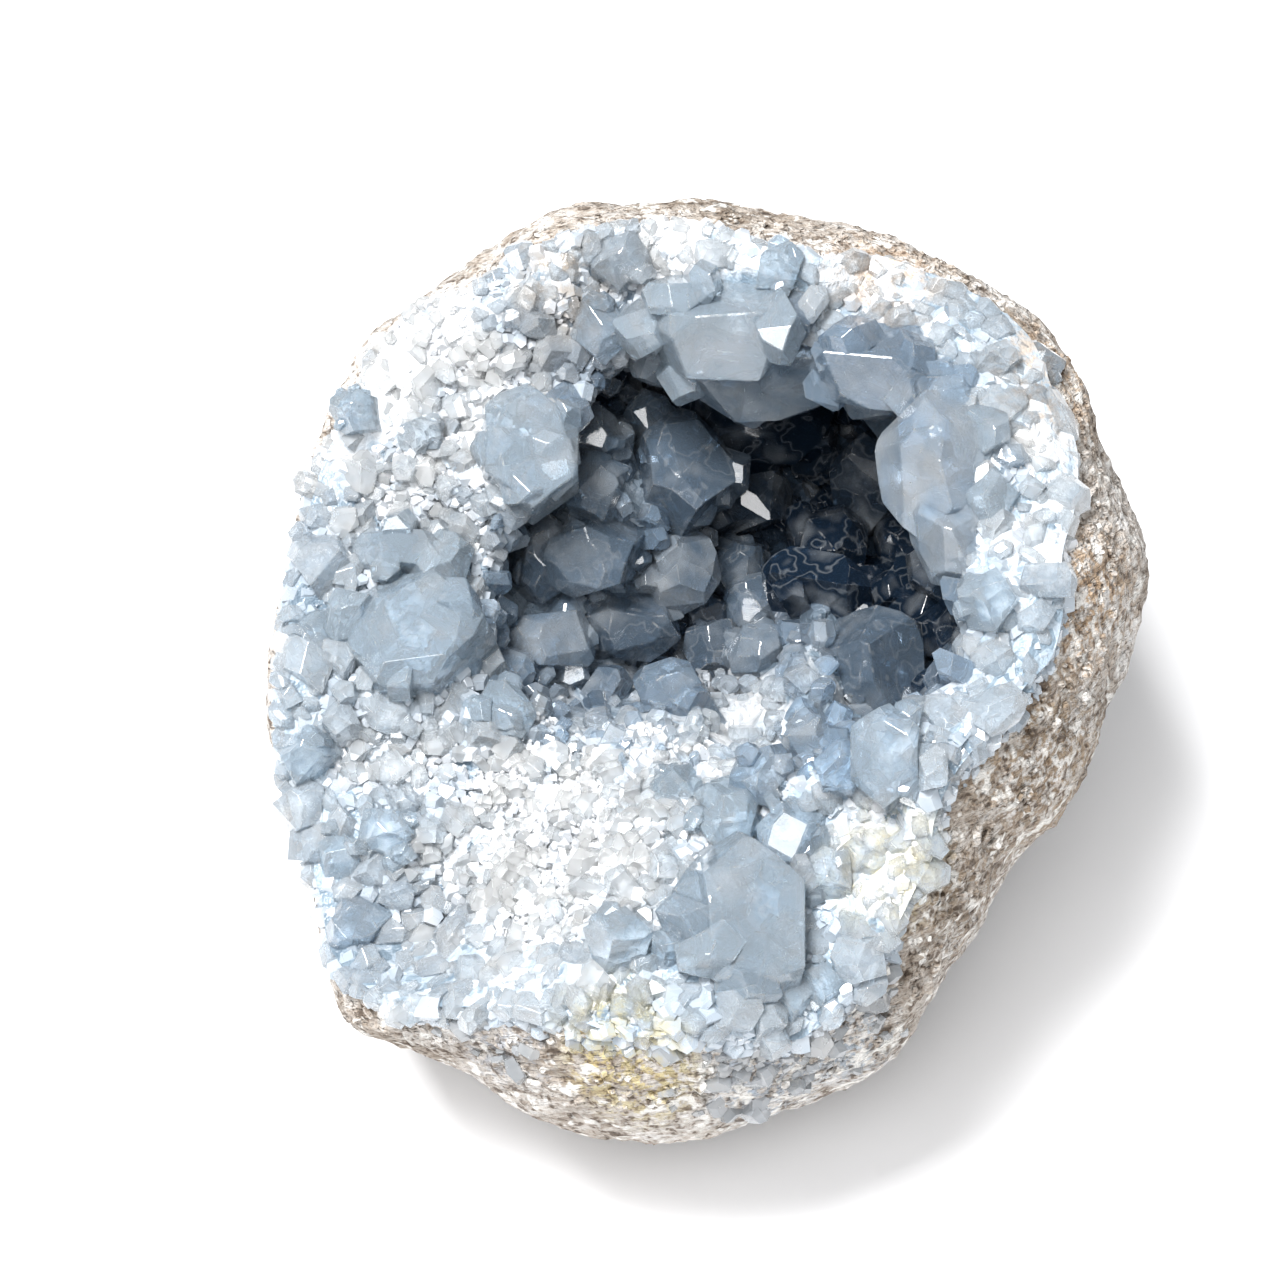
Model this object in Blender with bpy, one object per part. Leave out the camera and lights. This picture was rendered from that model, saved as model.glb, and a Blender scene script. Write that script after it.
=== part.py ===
"""A celestite geode: an egg-shaped nodule, broken open, whose hollow is lined with blue crystals.

Units are metres and +Z is up. The geode rests on a small flat spot on its underside, with its
bounding box's bottom centre at the origin. It is two pieces: the stony rind, and the crust of
celestite that lines the hollow and the broken face.

The form is described in a view frame: u to the right, v up and w towards a viewer who looks down
on the opening at VIEW_ELEVATION. Outlines are radii about the view frame's centre, one for each
15 degrees, counted anticlockwise from the right.
"""
import math
import random

import bmesh
import bpy
import numpy as np
from mathutils import Matrix, Vector, noise
from mathutils.bvhtree import BVHTree

MM = 0.001

# The view that the outlines are drawn in
VIEW_ELEVATION = math.radians(50)
EYE_DISTANCE = 420 * MM
EYE_U = -6.6 * MM
EYE_V = 3.3 * MM
U_AXIS = Vector((1, 0, 0))
V_AXIS = Vector((0, math.sin(VIEW_ELEVATION), math.cos(VIEW_ELEVATION)))
W_AXIS = Vector((0, -math.cos(VIEW_ELEVATION), math.sin(VIEW_ELEVATION)))

# The nodule's outline, the hollow's lip and the line where the crystals end, in mm every 15 degrees
OUTLINE = (46.2, 49.3, 51.0, 54.2, 51.9, 50.6, 51.3, 52.6, 51.5, 51.3, 48.0, 46.6,
           47.2, 47.6, 48.8, 53.6, 50.8, 51.8, 51.4, 48.0, 46.0, 42.2, 41.3, 44.0)
LIP = (28.6, 31.0, 35.5, 39.5, 38.5, 37.5, 36.3, 35.5, 31.0, 27.5, 26.4, 24.6,
       24.0, 20.5, 17.0, 12.5, 10.8, 10.2, 10.0, 11.8, 14.3, 17.4, 19.8, 23.4)
CRUST_EDGE = (35.2, 40.0, 46.2, 50.0, 48.4, 47.3, 48.4, 48.8, 49.0, 50.4, 47.4, 46.2,
              46.8, 47.2, 48.2, 51.0, 43.6, 38.6, 38.6, 41.5, 36.9, 31.9, 29.2, 30.6)

MEAN_OUTLINE = 49 * MM

# The crystals stop short of the outline by this share of its radius at least
EDGE_LIMIT = 0.988

# How the crystals' edge wanders: waves around the geode, height in mm and where they start
EDGE_WAVES = ((7, 0.7, 1.0), (11, 0.5, 2.1), (17, 0.4, 0.3))

# Depths of the form along w
FRONT_DOME = 40 * MM
BACK_DOME = 50 * MM
TOP_LEAN = -0.2
HOLLOW_POLE = (14 * MM, 12 * MM, -32 * MM)
FLOOR_STEPS = (0.35, 0.7)

# How each part of the wall changes around the geode: its mean, and its change to the right and up
LIP_DROP = (6.5 * MM, -3.5 * MM, -1.5 * MM)
BELLY_OUT = (-0.6 * MM, 2.6 * MM, 3.2 * MM)
BELLY_DROP = (13.0 * MM, 3.0 * MM, 1.0 * MM)
FLOOR_POWER = (2.3, 0.7, 0.3)
BED_DEPTH = (2.0 * MM, -0.6 * MM, -0.1 * MM)

# The broken face: its plane's depth at the middle and slopes along u and v, and where and how far
# it bulges between the lip and the crystals' edge
FACE_LEVEL = 19 * MM
FACE_SLOPES = (0.24, -0.37)
FACE_MIDDLE = 0.55
FACE_RISE = 1.2 * MM

# Masses of crystal that stand on the wall, and pits in it: u, v, spread and height
MASSES = (
    (-7 * MM, 16 * MM, 12 * MM, 17 * MM),
    (12 * MM, -3 * MM, 6.5 * MM, 24 * MM),
    (13.5 * MM, 6 * MM, 5.5 * MM, 20 * MM),
    (-31 * MM, 3 * MM, 6 * MM, 2 * MM),
    (-12 * MM, -22 * MM, 7 * MM, 1.5 * MM),
)
PITS = ((-27.5 * MM, -30 * MM, 4.5 * MM, -7 * MM),)

# The crystal bed's own unevenness
BED_LUMP_SIZE = 9 * MM
BED_LUMP_HEIGHT = 2.0 * MM

# The stone's surface: lumps, ledges along its layers, and small hollows
LUMP_SIZE = 19 * MM
LUMP_HEIGHT = 1.5 * MM
KNOB_SIZE = 7.5 * MM
KNOB_HEIGHT = 0.8 * MM
LAYER_NORMAL = Vector((0.30, 0.55, 0.78)).normalized()
LEDGE_SPACING = 7 * MM
LEDGE_HEIGHT = 0.9 * MM
LEDGE_WANDER = 0.6
LEDGE_LEVEL = 0.35
NOISE_SHIFT = Vector((3.1, 7.7, 5.3))

# The rest: how far the flat spot lies below the view frame's centre
REST_DEPTH = 43.2 * MM

# The mesh and the fits
COLUMNS = 48
HOLLOW_RINGS = 6
WALL_RINGS = 2
FACE_RINGS = 5
DOME_RINGS = 4
BACK_RINGS = 8
NORMAL_PASSES = 2
BOWL_RISE = 0.6
NODE_GAP = 0.3 * MM
CRUST_TUCK = 1.3 * MM
CORNER_MERGE = 0.12 * MM
CUT_MERGE = 0.02 * MM
EDGE_BED = 0.9 * MM

# Crystals: u, v, width and height above the bed, all in mm, then the way the tip points in the
# view frame, how thick the crystal is for its width, the turn in degrees of its wide way in the
# view frame, if it matters, and how much of its tip is left
CRYSTALS = (
    # The cluster on the left of the hollow
    (-3, 21, 11.5, 9, (0.1, 0.3, 1.0), 0.85, 90, 0.85),
    (-11.5, 19, 8, 5.5, (-0.2, 0.3, 1.0), 0.8, None, 1.0),
    (-11.5, 24.5, 7.5, 5, (-0.4, 0.6, 0.8), 0.8, None, 1.0),
    (-6, 27, 5.5, 4, (0.1, 0.8, 0.8), 0.8, None, 1.0),
    (4.5, 18, 8.5, 6, (0.7, 0.3, 0.7), 0.8, None, 1.0),
    (-11.5, 12.5, 9, 6, (-0.3, -0.1, 0.9), 0.9, None, 1.0),
    (-3, 11, 9, 6.5, (0.1, -0.2, 1.0), 0.8, None, 1.0),
    (3, 11.5, 8, 5.5, (0.5, -0.3, 0.8), 0.8, None, 1.0),
    (-8, 6, 9.5, 6, (-0.2, -0.5, 0.9), 0.7, None, 1.0),
    (0, 5.5, 8, 5, (0.3, -0.6, 0.8), 0.7, None, 1.0),
    (-17.5, 12.5, 8.5, 4.5, (0.5, 0.2, 0.8), 0.8, None, 1.0),
    (-17, 3, 9.5, 5, (0.3, 0.1, 0.9), 0.7, None, 1.0),
    # Those hanging from the top of the hollow
    (2, 38.5, 15, 8, (0.0, -0.6, 0.8), 0.62, 0, 0.8),
    (6, 31, 16, 10, (0.1, -0.5, 0.85), 0.78, 0, 0.8),
    (12, 26.5, 6, 5.5, (0.2, -0.9, 0.4), 0.8, None, 1.0),
    (5, 25.5, 8, 5.5, (0.0, -0.8, 0.6), 0.7, None, 1.0),
    (11, 36, 5, 4, (0.3, 0.0, 1.0), 0.8, None, 1.0),
    (20, 33.5, 11.5, 6.5, (-0.1, -0.5, 0.8), 0.6, 0, 0.85),
    (-9.5, 31.5, 5, 3.5, (0.2, -0.2, 1.0), 0.8, None, 1.0),
    (-11, 37.5, 6.5, 3, (0.1, -0.2, 1.0), 0.9, None, 1.0),
    (-9, 45, 6, 3, (0.0, 0.3, 0.9), 0.8, None, 1.0),
    (9, 44, 5, 2.5, (0.1, 0.4, 0.9), 0.8, None, 1.0),
    # Those on the right wall and rim
    (24.5, 28.5, 8, 10.5, (-0.25, 0.2, 0.95), 1.0, 0, 0.8),
    (20.5, 21, 10.5, 9, (-0.5, 0.0, 0.85), 0.8, 90, 0.9),
    (27, 21.5, 8, 6, (-0.3, 0.1, 0.95), 0.8, None, 1.0),
    (25, 14.5, 8.5, 7, (-0.4, -0.7, 0.6), 0.8, None, 1.0),
    (31.5, 26, 5.5, 3, (-0.1, 0.1, 1.0), 0.8, None, 1.0),
    (32, 18.5, 5.5, 3, (-0.1, 0.0, 1.0), 0.8, None, 1.0),
    (31.5, 7, 6, 3.5, (-0.3, 0.1, 0.9), 0.8, None, 1.0),
    (26, 4, 16, 6, (-0.8, 0.2, 0.5), 0.5, 90, 0.9),
    (37, 33, 5, 2.5, (0.1, 0.2, 1.0), 0.8, None, 1.0),
    # The spur that climbs from the lower lip
    (14, 11.5, 9, 6.5, (0.1, 0.6, 0.8), 0.8, None, 1.0),
    (13, 8, 11, 7, (-0.1, 0.4, 0.9), 0.45, 150, 0.75),
    (7, 6, 7, 5, (-0.4, 0.3, 0.9), 0.8, None, 1.0),
    (19, 8, 7.5, 6.5, (0.6, 0.4, 0.7), 0.8, None, 1.0),
    (17, -0.5, 11.5, 8, (0.4, 0.0, 0.9), 0.9, 90, 0.8),
    (7, 1.5, 7, 4, (-0.2, 0.1, 1.0), 0.8, None, 1.0),
    (2, 1.5, 6.5, 4, (-0.3, 0.3, 0.9), 0.8, None, 1.0),
    (-2.5, -3.5, 8, 5, (-0.4, 0.4, 0.8), 0.8, None, 1.0),
    (12, -8.5, 5.5, 3, (0.0, 0.1, 1.0), 0.8, None, 1.0),
    (7, -12, 6, 3, (-0.1, 0.1, 1.0), 0.8, None, 1.0),
    (-2, -13, 5, 2.5, (-0.1, 0.1, 1.0), 0.8, None, 1.0),
    (15.5, -11, 6, 3.5, (0.2, 0.3, 0.9), 0.8, None, 1.0),
    (21, -9.5, 9, 5.5, (-0.1, 0.3, 1.0), 0.85, 90, 0.8),
    # The lower front, with the largest crystal
    (4.5, -28, 15.5, 9, (0.05, -0.35, 0.93), 0.78, 90, 0.75),
    (3.5, -16, 8, 4, (0.0, 0.1, 1.0), 0.7, None, 1.0),
    (10, -18, 8, 4, (0.2, 0.1, 1.0), 0.8, None, 1.0),
    (14, -23, 6.5, 2.5, (0.2, -0.2, 1.0), 0.8, None, 1.0),
    (-8.5, -30, 6.5, 4, (-0.1, -0.4, 0.9), 0.8, None, 1.0),
    (-3.5, -30.5, 4.5, 2.5, (0.0, -0.3, 1.0), 0.8, None, 1.0),
    (9.5, -36, 5.5, 2.5, (0.2, -0.6, 0.8), 0.8, None, 1.0),
    (13.5, -34, 5, 2, (0.3, -0.5, 0.8), 0.8, None, 1.0),
    # The broad shelf and rim on the left
    (-31.5, 3.5, 15, 6, (-0.1, 0.2, 1.0), 0.9, 0, 0.85),
    (-19, 24, 12, 6.5, (0.1, 0.1, 1.0), 0.9, 90, 0.8),
    (-33.5, 12.5, 8.5, 3.5, (0.0, 0.4, 0.9), 0.5, 0, 0.9),
    (-28, 11.5, 6, 3.5, (0.3, -0.1, 0.9), 0.8, None, 1.0),
    (-41.5, 4, 5, 2.5, (-0.5, 0.1, 0.8), 0.8, None, 1.0),
    (-30.5, 25.5, 4.5, 2, (-0.1, 0.3, 1.0), 0.8, None, 1.0),
    (-38, 28.5, 5, 2, (-0.4, 0.4, 0.8), 0.8, None, 1.0),
    (-21.5, -5, 7, 3, (0.2, 0.3, 0.9), 0.8, None, 1.0),
    (-34, -18, 6, 2.5, (-0.3, 0.0, 0.9), 0.8, None, 1.0),
    (-39, -20, 5.5, 2.5, (-0.6, -0.1, 0.8), 0.8, None, 1.0),
    (-43, -9.5, 6, 3, (-0.8, 0.0, 0.6), 0.8, None, 1.0),
    (-38, -28, 6, 3, (-0.6, -0.4, 0.7), 0.8, None, 1.0),
)
# How much a crystal follows its own aim and the bed's normal, and how far a small one strays
AIM_SHARE = 0.75
WALL_SHARE = 0.45
WOBBLE = 0.4

# The turns of a crystal's sides and end faces, in degrees; a side's reach is None on its flat sides
STOUT_SIDES = ((0, None), (52, 1.0), (128, 1.0), (180, None), (232, 1.0), (308, 1.0))
STOUT_ENDS = (20, 110, 200, 290)
SLIM_SIDES = ((0, None), (64, 1.0), (130, 1.0), (195, 1.0), (285, 1.0))
SLIM_ENDS = (30, 150, 265)
TURN_SPREAD = 12
SIDE_LEAN = (-0.05, 0.10)
SIDE_REACH = (0.86, 1.06)
END_SLOPE = (38, 58)
END_CORNER = (0.30, 0.75)
TIP_TILT = 0.25
TIP_CUT = (0.93, 1.05)
SINK = 3.2 * MM
SCATTER_SEED = 11
SCATTER_ON_FACE = 9
SCATTER_IN_HOLLOW = 1
SCATTER_TRIES = 12
SCATTER_WIDTH = (3.4 * MM, 6.0 * MM)
STOUT_WIDTH = 6.6 * MM


def remove_everything():
    """Empties the scene, so that the script can be run again."""
    for thing in list(bpy.data.objects):
        bpy.data.objects.remove(thing, do_unlink=True)


# Outlines and depths around the geode


def around(values, angle):
    """A closed outline's radius in metres at an angle, on a smooth curve through its values."""
    count = len(values)
    place = angle / math.tau * count
    first = math.floor(place)
    t = place - first
    a, b, c, d = (values[(first + k) % count] for k in (-1, 0, 1, 2))
    blend = b + 0.5 * t * (c - a + t * (2 * a - 5 * b + 4 * c - d + t * (3 * (b - c) + d - a)))
    return blend * MM


def crust_edge(angle):
    """The radius at which the crystals end and the bare stone starts."""
    waves = sum(height * math.sin(count * angle + start) for count, height, start in EDGE_WAVES)
    return min(around(CRUST_EDGE, angle) + waves * MM, EDGE_LIMIT * around(OUTLINE, angle))


def varied(terms, angle):
    """A value that changes smoothly around the geode, to the right and upwards."""
    mean, rightward, upward = terms
    return mean + rightward * math.cos(angle) + upward * math.sin(angle)


def to_world(u, v, w):
    """A point of the view frame in world axes."""
    return U_AXIS * u + V_AXIS * v + W_AXIS * w


def seen_at(u, v, w):
    """The point that shows at (u, v) on the middle plane and lies w nearer to the eye."""
    scale = 1 - w / EYE_DISTANCE
    return to_world(EYE_U + (u - EYE_U) * scale, EYE_V + (v - EYE_V) * scale, w)


def on_dome(angle, radius, outline, dome):
    """A point of the outer surface: the front of the nodule for a positive dome, else its back."""
    share = min(radius / outline, 1.0)
    u = radius * math.cos(angle)
    v = radius * math.sin(angle)
    return Vector((u, v, dome * math.sqrt(1 - share * share) + TOP_LEAN * v))


def wall_keys(angle):
    """The points, from the hollow's deepest point out to the rind, that the wall passes through."""
    outline = around(OUTLINE, angle)
    direction = Vector((math.cos(angle), math.sin(angle), 0))
    edge = on_dome(angle, crust_edge(angle), outline, FRONT_DOME)
    lip = direction * around(LIP, angle)
    lip.z = FACE_LEVEL + lip.xy.dot(Vector(FACE_SLOPES)) - varied(LIP_DROP, angle)
    middle = lip.lerp(edge, FACE_MIDDLE) + Vector((0, 0, FACE_RISE))
    belly = lip + direction * varied(BELLY_OUT, angle)
    belly.z -= varied(BELLY_DROP, angle)
    pole = Vector(HOLLOW_POLE)
    keys = [pole]
    for step in FLOOR_STEPS:
        point = pole.lerp(belly, step)
        point.z = pole.z + (belly.z - pole.z) * step ** varied(FLOOR_POWER, angle)
        keys.append(point)
    return keys + [belly, lip, middle, edge]


def curve_through(keys, place):
    """A point on the smooth curve through keys, at a place counted in keys."""
    first = min(int(place), len(keys) - 2)
    t = place - first
    b = keys[first]
    c = keys[first + 1]
    a = keys[first - 1] if first > 0 else b * 2 - c
    d = keys[first + 2] if first + 2 < len(keys) else c * 2 - b
    return b + 0.5 * t * (c - a + t * (2 * a - 5 * b + 4 * c - d + t * (3 * (b - c) + d - a)))


def swell(forms, point):
    """How far swellings or pits raise a point of the view frame."""
    total = 0.0
    for u, v, spread, height in forms:
        distance = math.hypot(point.x - u, point.y - v) / spread
        total += height * math.exp(-distance * distance)
    return total


def raised(point, amount):
    """A point of the view frame, moved towards the viewer."""
    return point + Vector((0, 0, amount))


def ring_places():
    """Each ring's part of the form and its place there, from the hollow's pole to the back."""
    places = [("wall", 3 * (k + 1) / HOLLOW_RINGS) for k in range(HOLLOW_RINGS)]
    places += [("wall", 3 + (k + 1) / WALL_RINGS) for k in range(WALL_RINGS)]
    places += [("wall", 4 + 2 * (k + 1) / FACE_RINGS) for k in range(FACE_RINGS)]
    places += [("dome", (k + 1) / DOME_RINGS) for k in range(DOME_RINGS)]
    places += [("back", (k + 1) / BACK_RINGS) for k in range(BACK_RINGS - 1)]
    return places


def form_point(part, place, angle):
    """A point of the smooth form, in the view frame."""
    outline = around(OUTLINE, angle)
    if part == "wall":
        point = curve_through(wall_keys(angle), place)
        return raised(point, swell(PITS, point))
    if part == "dome":
        start = math.acos(crust_edge(angle) / outline)
        turn = start * (1 - place)
        return on_dome(angle, outline * math.cos(turn), outline, FRONT_DOME)
    turn = place * math.pi / 2
    outline += (MEAN_OUTLINE - outline) * place * place
    return on_dome(angle, outline * math.cos(turn), outline, -BACK_DOME)


def bed_relief(point):
    """How far the crystal bed stands out at a world point."""
    return BED_LUMP_HEIGHT * noise.noise(point / BED_LUMP_SIZE + NOISE_SHIFT)


def stone_relief(point):
    """How far the stone's surface stands out at a world point, from lumps, knobs and ledges."""
    lump = LUMP_HEIGHT * noise.noise(point / LUMP_SIZE + NOISE_SHIFT)
    knob = KNOB_HEIGHT * noise.noise(point / KNOB_SIZE + NOISE_SHIFT)
    layer = point.dot(LAYER_NORMAL) / LEDGE_SPACING + LEDGE_WANDER * noise.noise(point / LUMP_SIZE)
    step = layer - math.floor(layer)
    ledge = LEDGE_HEIGHT * (step * step - LEDGE_LEVEL)
    return lump + knob + ledge


# The grid of rings that every solid of the body is built on


class Form:
    """The form's grid: its points, their outward normals, and the crystal masses on the wall."""

    def __init__(self):
        self.angles = [math.tau * k / COLUMNS for k in range(COLUMNS)]
        self.edge_ring = HOLLOW_RINGS + WALL_RINGS + FACE_RINGS - 1
        self.rings = []
        self.growth = []
        for part, place in ring_places():
            points = [form_point(part, place, angle) for angle in self.angles]
            self.rings.append([seen_at(*point) for point in points])
            self.growth.append([self.grown(point, part) for point in points])
        pole = Vector(HOLLOW_POLE)
        self.ends = [seen_at(*pole), seen_at(0, 0, -BACK_DOME)]
        self.pole_growth = self.grown(pole, "wall")
        self.normals = self.ring_normals()
        self.roughen()

    @staticmethod
    def grown(point, part):
        """How the crystal masses move a point of the wall, as a step in world axes."""
        if part != "wall":
            return Vector()
        return seen_at(*raised(point, swell(MASSES, point))) - seen_at(*point)

    def ring_normals(self):
        """The outward normal at each point, from its neighbours on the grid."""
        normals = []
        last = len(self.rings) - 1
        for row, ring in enumerate(self.rings):
            if row < HOLLOW_RINGS:
                normals.append([self.bowl_normal(point, row) for point in ring])
                continue
            inner = self.rings[row - 1]
            outer = self.rings[row + 1] if row < last else [self.ends[1]] * COLUMNS
            line = []
            for k in range(COLUMNS):
                across = outer[k] - inner[k]
                along = ring[(k + 1) % COLUMNS] - ring[k - 1]
                line.append(across.cross(along).normalized())
            normals.append(line)
        for _ in range(NORMAL_PASSES):
            normals = [self.eased(normals, row) for row in range(len(normals))]
        return normals

    def bowl_normal(self, point, row):
        """The hollow wall's direction into the hollow: to the viewer at its pole, and more and more
        towards its axis further out, so that no two of these cross inside the stone."""
        sideways = self.ends[0] - point
        sideways -= W_AXIS * sideways.dot(W_AXIS)
        return (sideways.normalized() * ((row + 1) / HOLLOW_RINGS) + W_AXIS * BOWL_RISE).normalized()

    def eased(self, normals, row):
        """A ring's normals, each averaged with its neighbours'."""
        inner = normals[max(row - 1, 0)]
        outer = normals[min(row + 1, len(normals) - 1)]
        line = normals[row]
        return [
            (line[k] * 2 + line[k - 1] + line[(k + 1) % COLUMNS] + inner[k] + outer[k]).normalized()
            for k in range(COLUMNS)
        ]

    def roughen(self):
        """Adds the bed's relief inside the crust's edge and the stone's relief outside it."""
        for row, ring in enumerate(self.rings):
            share = min(1.0, abs(row - self.edge_ring) / 2, row / HOLLOW_RINGS)
            relief = bed_relief if row < self.edge_ring else stone_relief
            for k, point in enumerate(ring):
                ring[k] = point + self.normals[row][k] * relief(point) * share

    def bed_depth(self, row, angle):
        """The thickness of the crystal bed at a ring: none outside the crust's edge."""
        if row > self.edge_ring:
            return 0.0
        deep = varied(BED_DEPTH, angle)
        taper = min(1.0, (self.edge_ring - row) / 2)
        return EDGE_BED + (deep - EDGE_BED) * taper

    def stone(self):
        """The stone's points: the form less the crystal bed."""
        rings = []
        for row, ring in enumerate(self.rings):
            line = []
            for k, point in enumerate(ring):
                line.append(point - self.normals[row][k] * self.bed_depth(row, self.angles[k]))
            rings.append(line)
        return rings, [self.ends[0] - W_AXIS * self.bed_depth(0, 0.0), self.ends[1]]

    def bed(self):
        """The points of a body that fills the stone and the crystal bed on it, but that stays
        inside the stone past the crystals' edge."""
        rings = []
        for row, ring in enumerate(self.rings):
            tuck = CRUST_TUCK if row > self.edge_ring else 0.0
            line = []
            for k, point in enumerate(ring):
                line.append(point + self.growth[row][k] - self.normals[row][k] * tuck)
            rings.append(line)
        return rings, [self.ends[0] + self.pole_growth, self.ends[1] + W_AXIS * CRUST_TUCK]


def solid_of_rings(name, rings, ends):
    """A closed mesh of rings of points with a fan at each end."""
    mesh = bmesh.new()
    rows = [[mesh.verts.new(point) for point in ring] for ring in rings]
    first, last = (mesh.verts.new(point) for point in ends)
    for k in range(COLUMNS):
        following = (k + 1) % COLUMNS
        mesh.faces.new((first, rows[0][k], rows[0][following]))
        mesh.faces.new((last, rows[-1][following], rows[-1][k]))
        for inner, outer in zip(rows, rows[1:]):
            mesh.faces.new((inner[k], outer[k], outer[following]))
            mesh.faces.new((inner[k], outer[following], inner[following]))
    return finish_mesh(name, mesh)


def finish_mesh(name, mesh):
    """Puts a bmesh into a new object, with its faces pointing out."""
    bmesh.ops.recalc_face_normals(mesh, faces=mesh.faces)
    data = bpy.data.meshes.new(name)
    mesh.to_mesh(data)
    mesh.free()
    thing = bpy.data.objects.new(name, data)
    bpy.context.scene.collection.objects.link(thing)
    return thing


def inflate(thing, gap):
    """Moves an object's faces outwards by a gap."""
    mesh = bmesh.new()
    mesh.from_mesh(thing.data)
    steps = [point.normal * gap * min(point.calc_shell_factor(), 2.0) for point in mesh.verts]
    for point, step in zip(mesh.verts, steps):
        point.co += step
    mesh.to_mesh(thing.data)
    mesh.free()


def cut_flat_spot(thing):
    """Cuts the underside off flat where the geode rests."""
    mesh = bmesh.new()
    mesh.from_mesh(thing.data)
    everything = mesh.verts[:] + mesh.edges[:] + mesh.faces[:]
    cut = bmesh.ops.bisect_plane(
        mesh, geom=everything, dist=1e-6, plane_co=(0, 0, -REST_DEPTH), plane_no=(0, 0, -1),
        clear_outer=True)
    rim = [edge for edge in cut["geom_cut"] if isinstance(edge, bmesh.types.BMEdge)]
    bmesh.ops.edgeloop_fill(mesh, edges=rim)
    bmesh.ops.triangulate(mesh, faces=mesh.faces)
    bmesh.ops.recalc_face_normals(mesh, faces=mesh.faces)
    mesh.to_mesh(thing.data)
    mesh.free()


# Crystals


def crystal_planes(draw, width, height, flatness, tip=1.0):
    """The planes that bound a crystal, as normals and distances from its root: its sides, an end
    of slanting faces, a cut tip on a stout one, and a base."""
    normals = []
    distances = []
    half = width / 2
    stout = width > STOUT_WIDTH
    for turn, reach in (STOUT_SIDES if stout else SLIM_SIDES):
        reach = reach or flatness
        angle = math.radians(turn + draw.uniform(-TURN_SPREAD, TURN_SPREAD) / 3)
        lean = draw.uniform(*SIDE_LEAN)
        normals.append(Vector((math.cos(angle), math.sin(angle), lean)).normalized())
        distances.append(half * reach * draw.uniform(*SIDE_REACH))
    for turn in (STOUT_ENDS if stout else SLIM_ENDS):
        angle = math.radians(turn + draw.uniform(-TURN_SPREAD, TURN_SPREAD))
        slope = math.radians(draw.uniform(*END_SLOPE))
        side = math.cos(slope)
        normal = Vector((math.cos(angle) * side, math.sin(angle) * side, math.sin(slope)))
        normals.append(normal)
        corner = half * draw.uniform(*END_CORNER)
        distances.append(normal.z * height + side * corner)
    if stout:
        tilt = (draw.uniform(-TIP_TILT, TIP_TILT), draw.uniform(-TIP_TILT, TIP_TILT), 1)
        normals.append(Vector(tilt).normalized())
        distances.append(height * draw.uniform(*TIP_CUT) * tip)
    normals.append(Vector((0, 0, -1)))
    distances.append(SINK)
    return normals, distances


def corners_of(normals, distances):
    """The corners of the convex solid that the planes bound."""
    sides = np.array([tuple(normal) for normal in normals])
    reach = np.array(distances)
    count = len(reach)
    trios = np.array([(a, b, c) for a in range(count) for b in range(a) for c in range(b)])
    matrices = sides[trios]
    usable = np.abs(np.linalg.det(matrices)) > 1e-4
    points = np.linalg.solve(matrices[usable], reach[trios[usable]][..., None])[..., 0]
    inside = np.all(points @ sides.T <= reach + 1e-7, axis=1)
    return [Vector(point) for point in points[inside]]


def crystal_object(name, corners, place):
    """A convex crystal with the given corners, set where place puts it."""
    mesh = bmesh.new()
    for corner in corners:
        mesh.verts.new(place @ corner)
    bmesh.ops.remove_doubles(mesh, verts=mesh.verts, dist=CORNER_MERGE)
    hull = bmesh.ops.convex_hull(mesh, input=mesh.verts)
    spare = [item for item in hull["geom_interior"] if isinstance(item, bmesh.types.BMVert)]
    bmesh.ops.delete(mesh, geom=spare, context="VERTS")
    return finish_mesh(name, mesh)


def spin_for(axis, turn, draw):
    """The spin that lays a crystal's wide way at a turn of the view frame; any spin for None."""
    if turn is None:
        return draw.uniform(0, math.tau)
    wide = to_world(math.cos(math.radians(turn)), math.sin(math.radians(turn)), 0)
    local = axis.normalized().to_track_quat("Z", "Y").to_matrix().transposed() @ wide
    return math.atan2(local.y, local.x) - math.pi / 2


def standing(root, axis, spin):
    """The placement of a crystal at a root, with its length along an axis and turned by spin."""
    turn = axis.normalized().to_track_quat("Z", "Y").to_matrix().to_4x4()
    return Matrix.Translation(root) @ turn @ Matrix.Rotation(spin, 4, "Z")


def named_crystals(bed_tree):
    """The main crystals, each rooted where the line from the eye through it meets the bed, and
    the places of their roots."""
    draw = random.Random(SCATTER_SEED)
    eye = to_world(EYE_U, EYE_V, EYE_DISTANCE)
    crystals = []
    roots = []
    for k, (u, v, width, height, aim, flatness, turn, tip) in enumerate(CRYSTALS):
        through = to_world(u * MM, v * MM, 0)
        spot, normal, _, _ = bed_tree.ray_cast(eye, (through - eye).normalized())
        if spot is None:
            continue
        axis = to_world(*aim).normalized() * AIM_SHARE + normal * WALL_SHARE
        normals, distances = crystal_planes(draw, width * MM, height * MM, flatness, tip)
        place = standing(spot, axis, spin_for(axis, turn, draw))
        crystals.append(crystal_object(f"crystal_{k}", corners_of(normals, distances), place))
        roots.append(spot)
    return crystals, roots


def emptiest_place(draw, form, rows, taken):
    """The ring and column, of several drawn, that lies furthest from the crystals so far."""
    places = [(draw.randrange(*rows), draw.randrange(COLUMNS)) for _ in range(SCATTER_TRIES)]
    return max(places, key=lambda at: min((form.rings[at[0]][at[1]] - spot).length for spot in taken))


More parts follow.
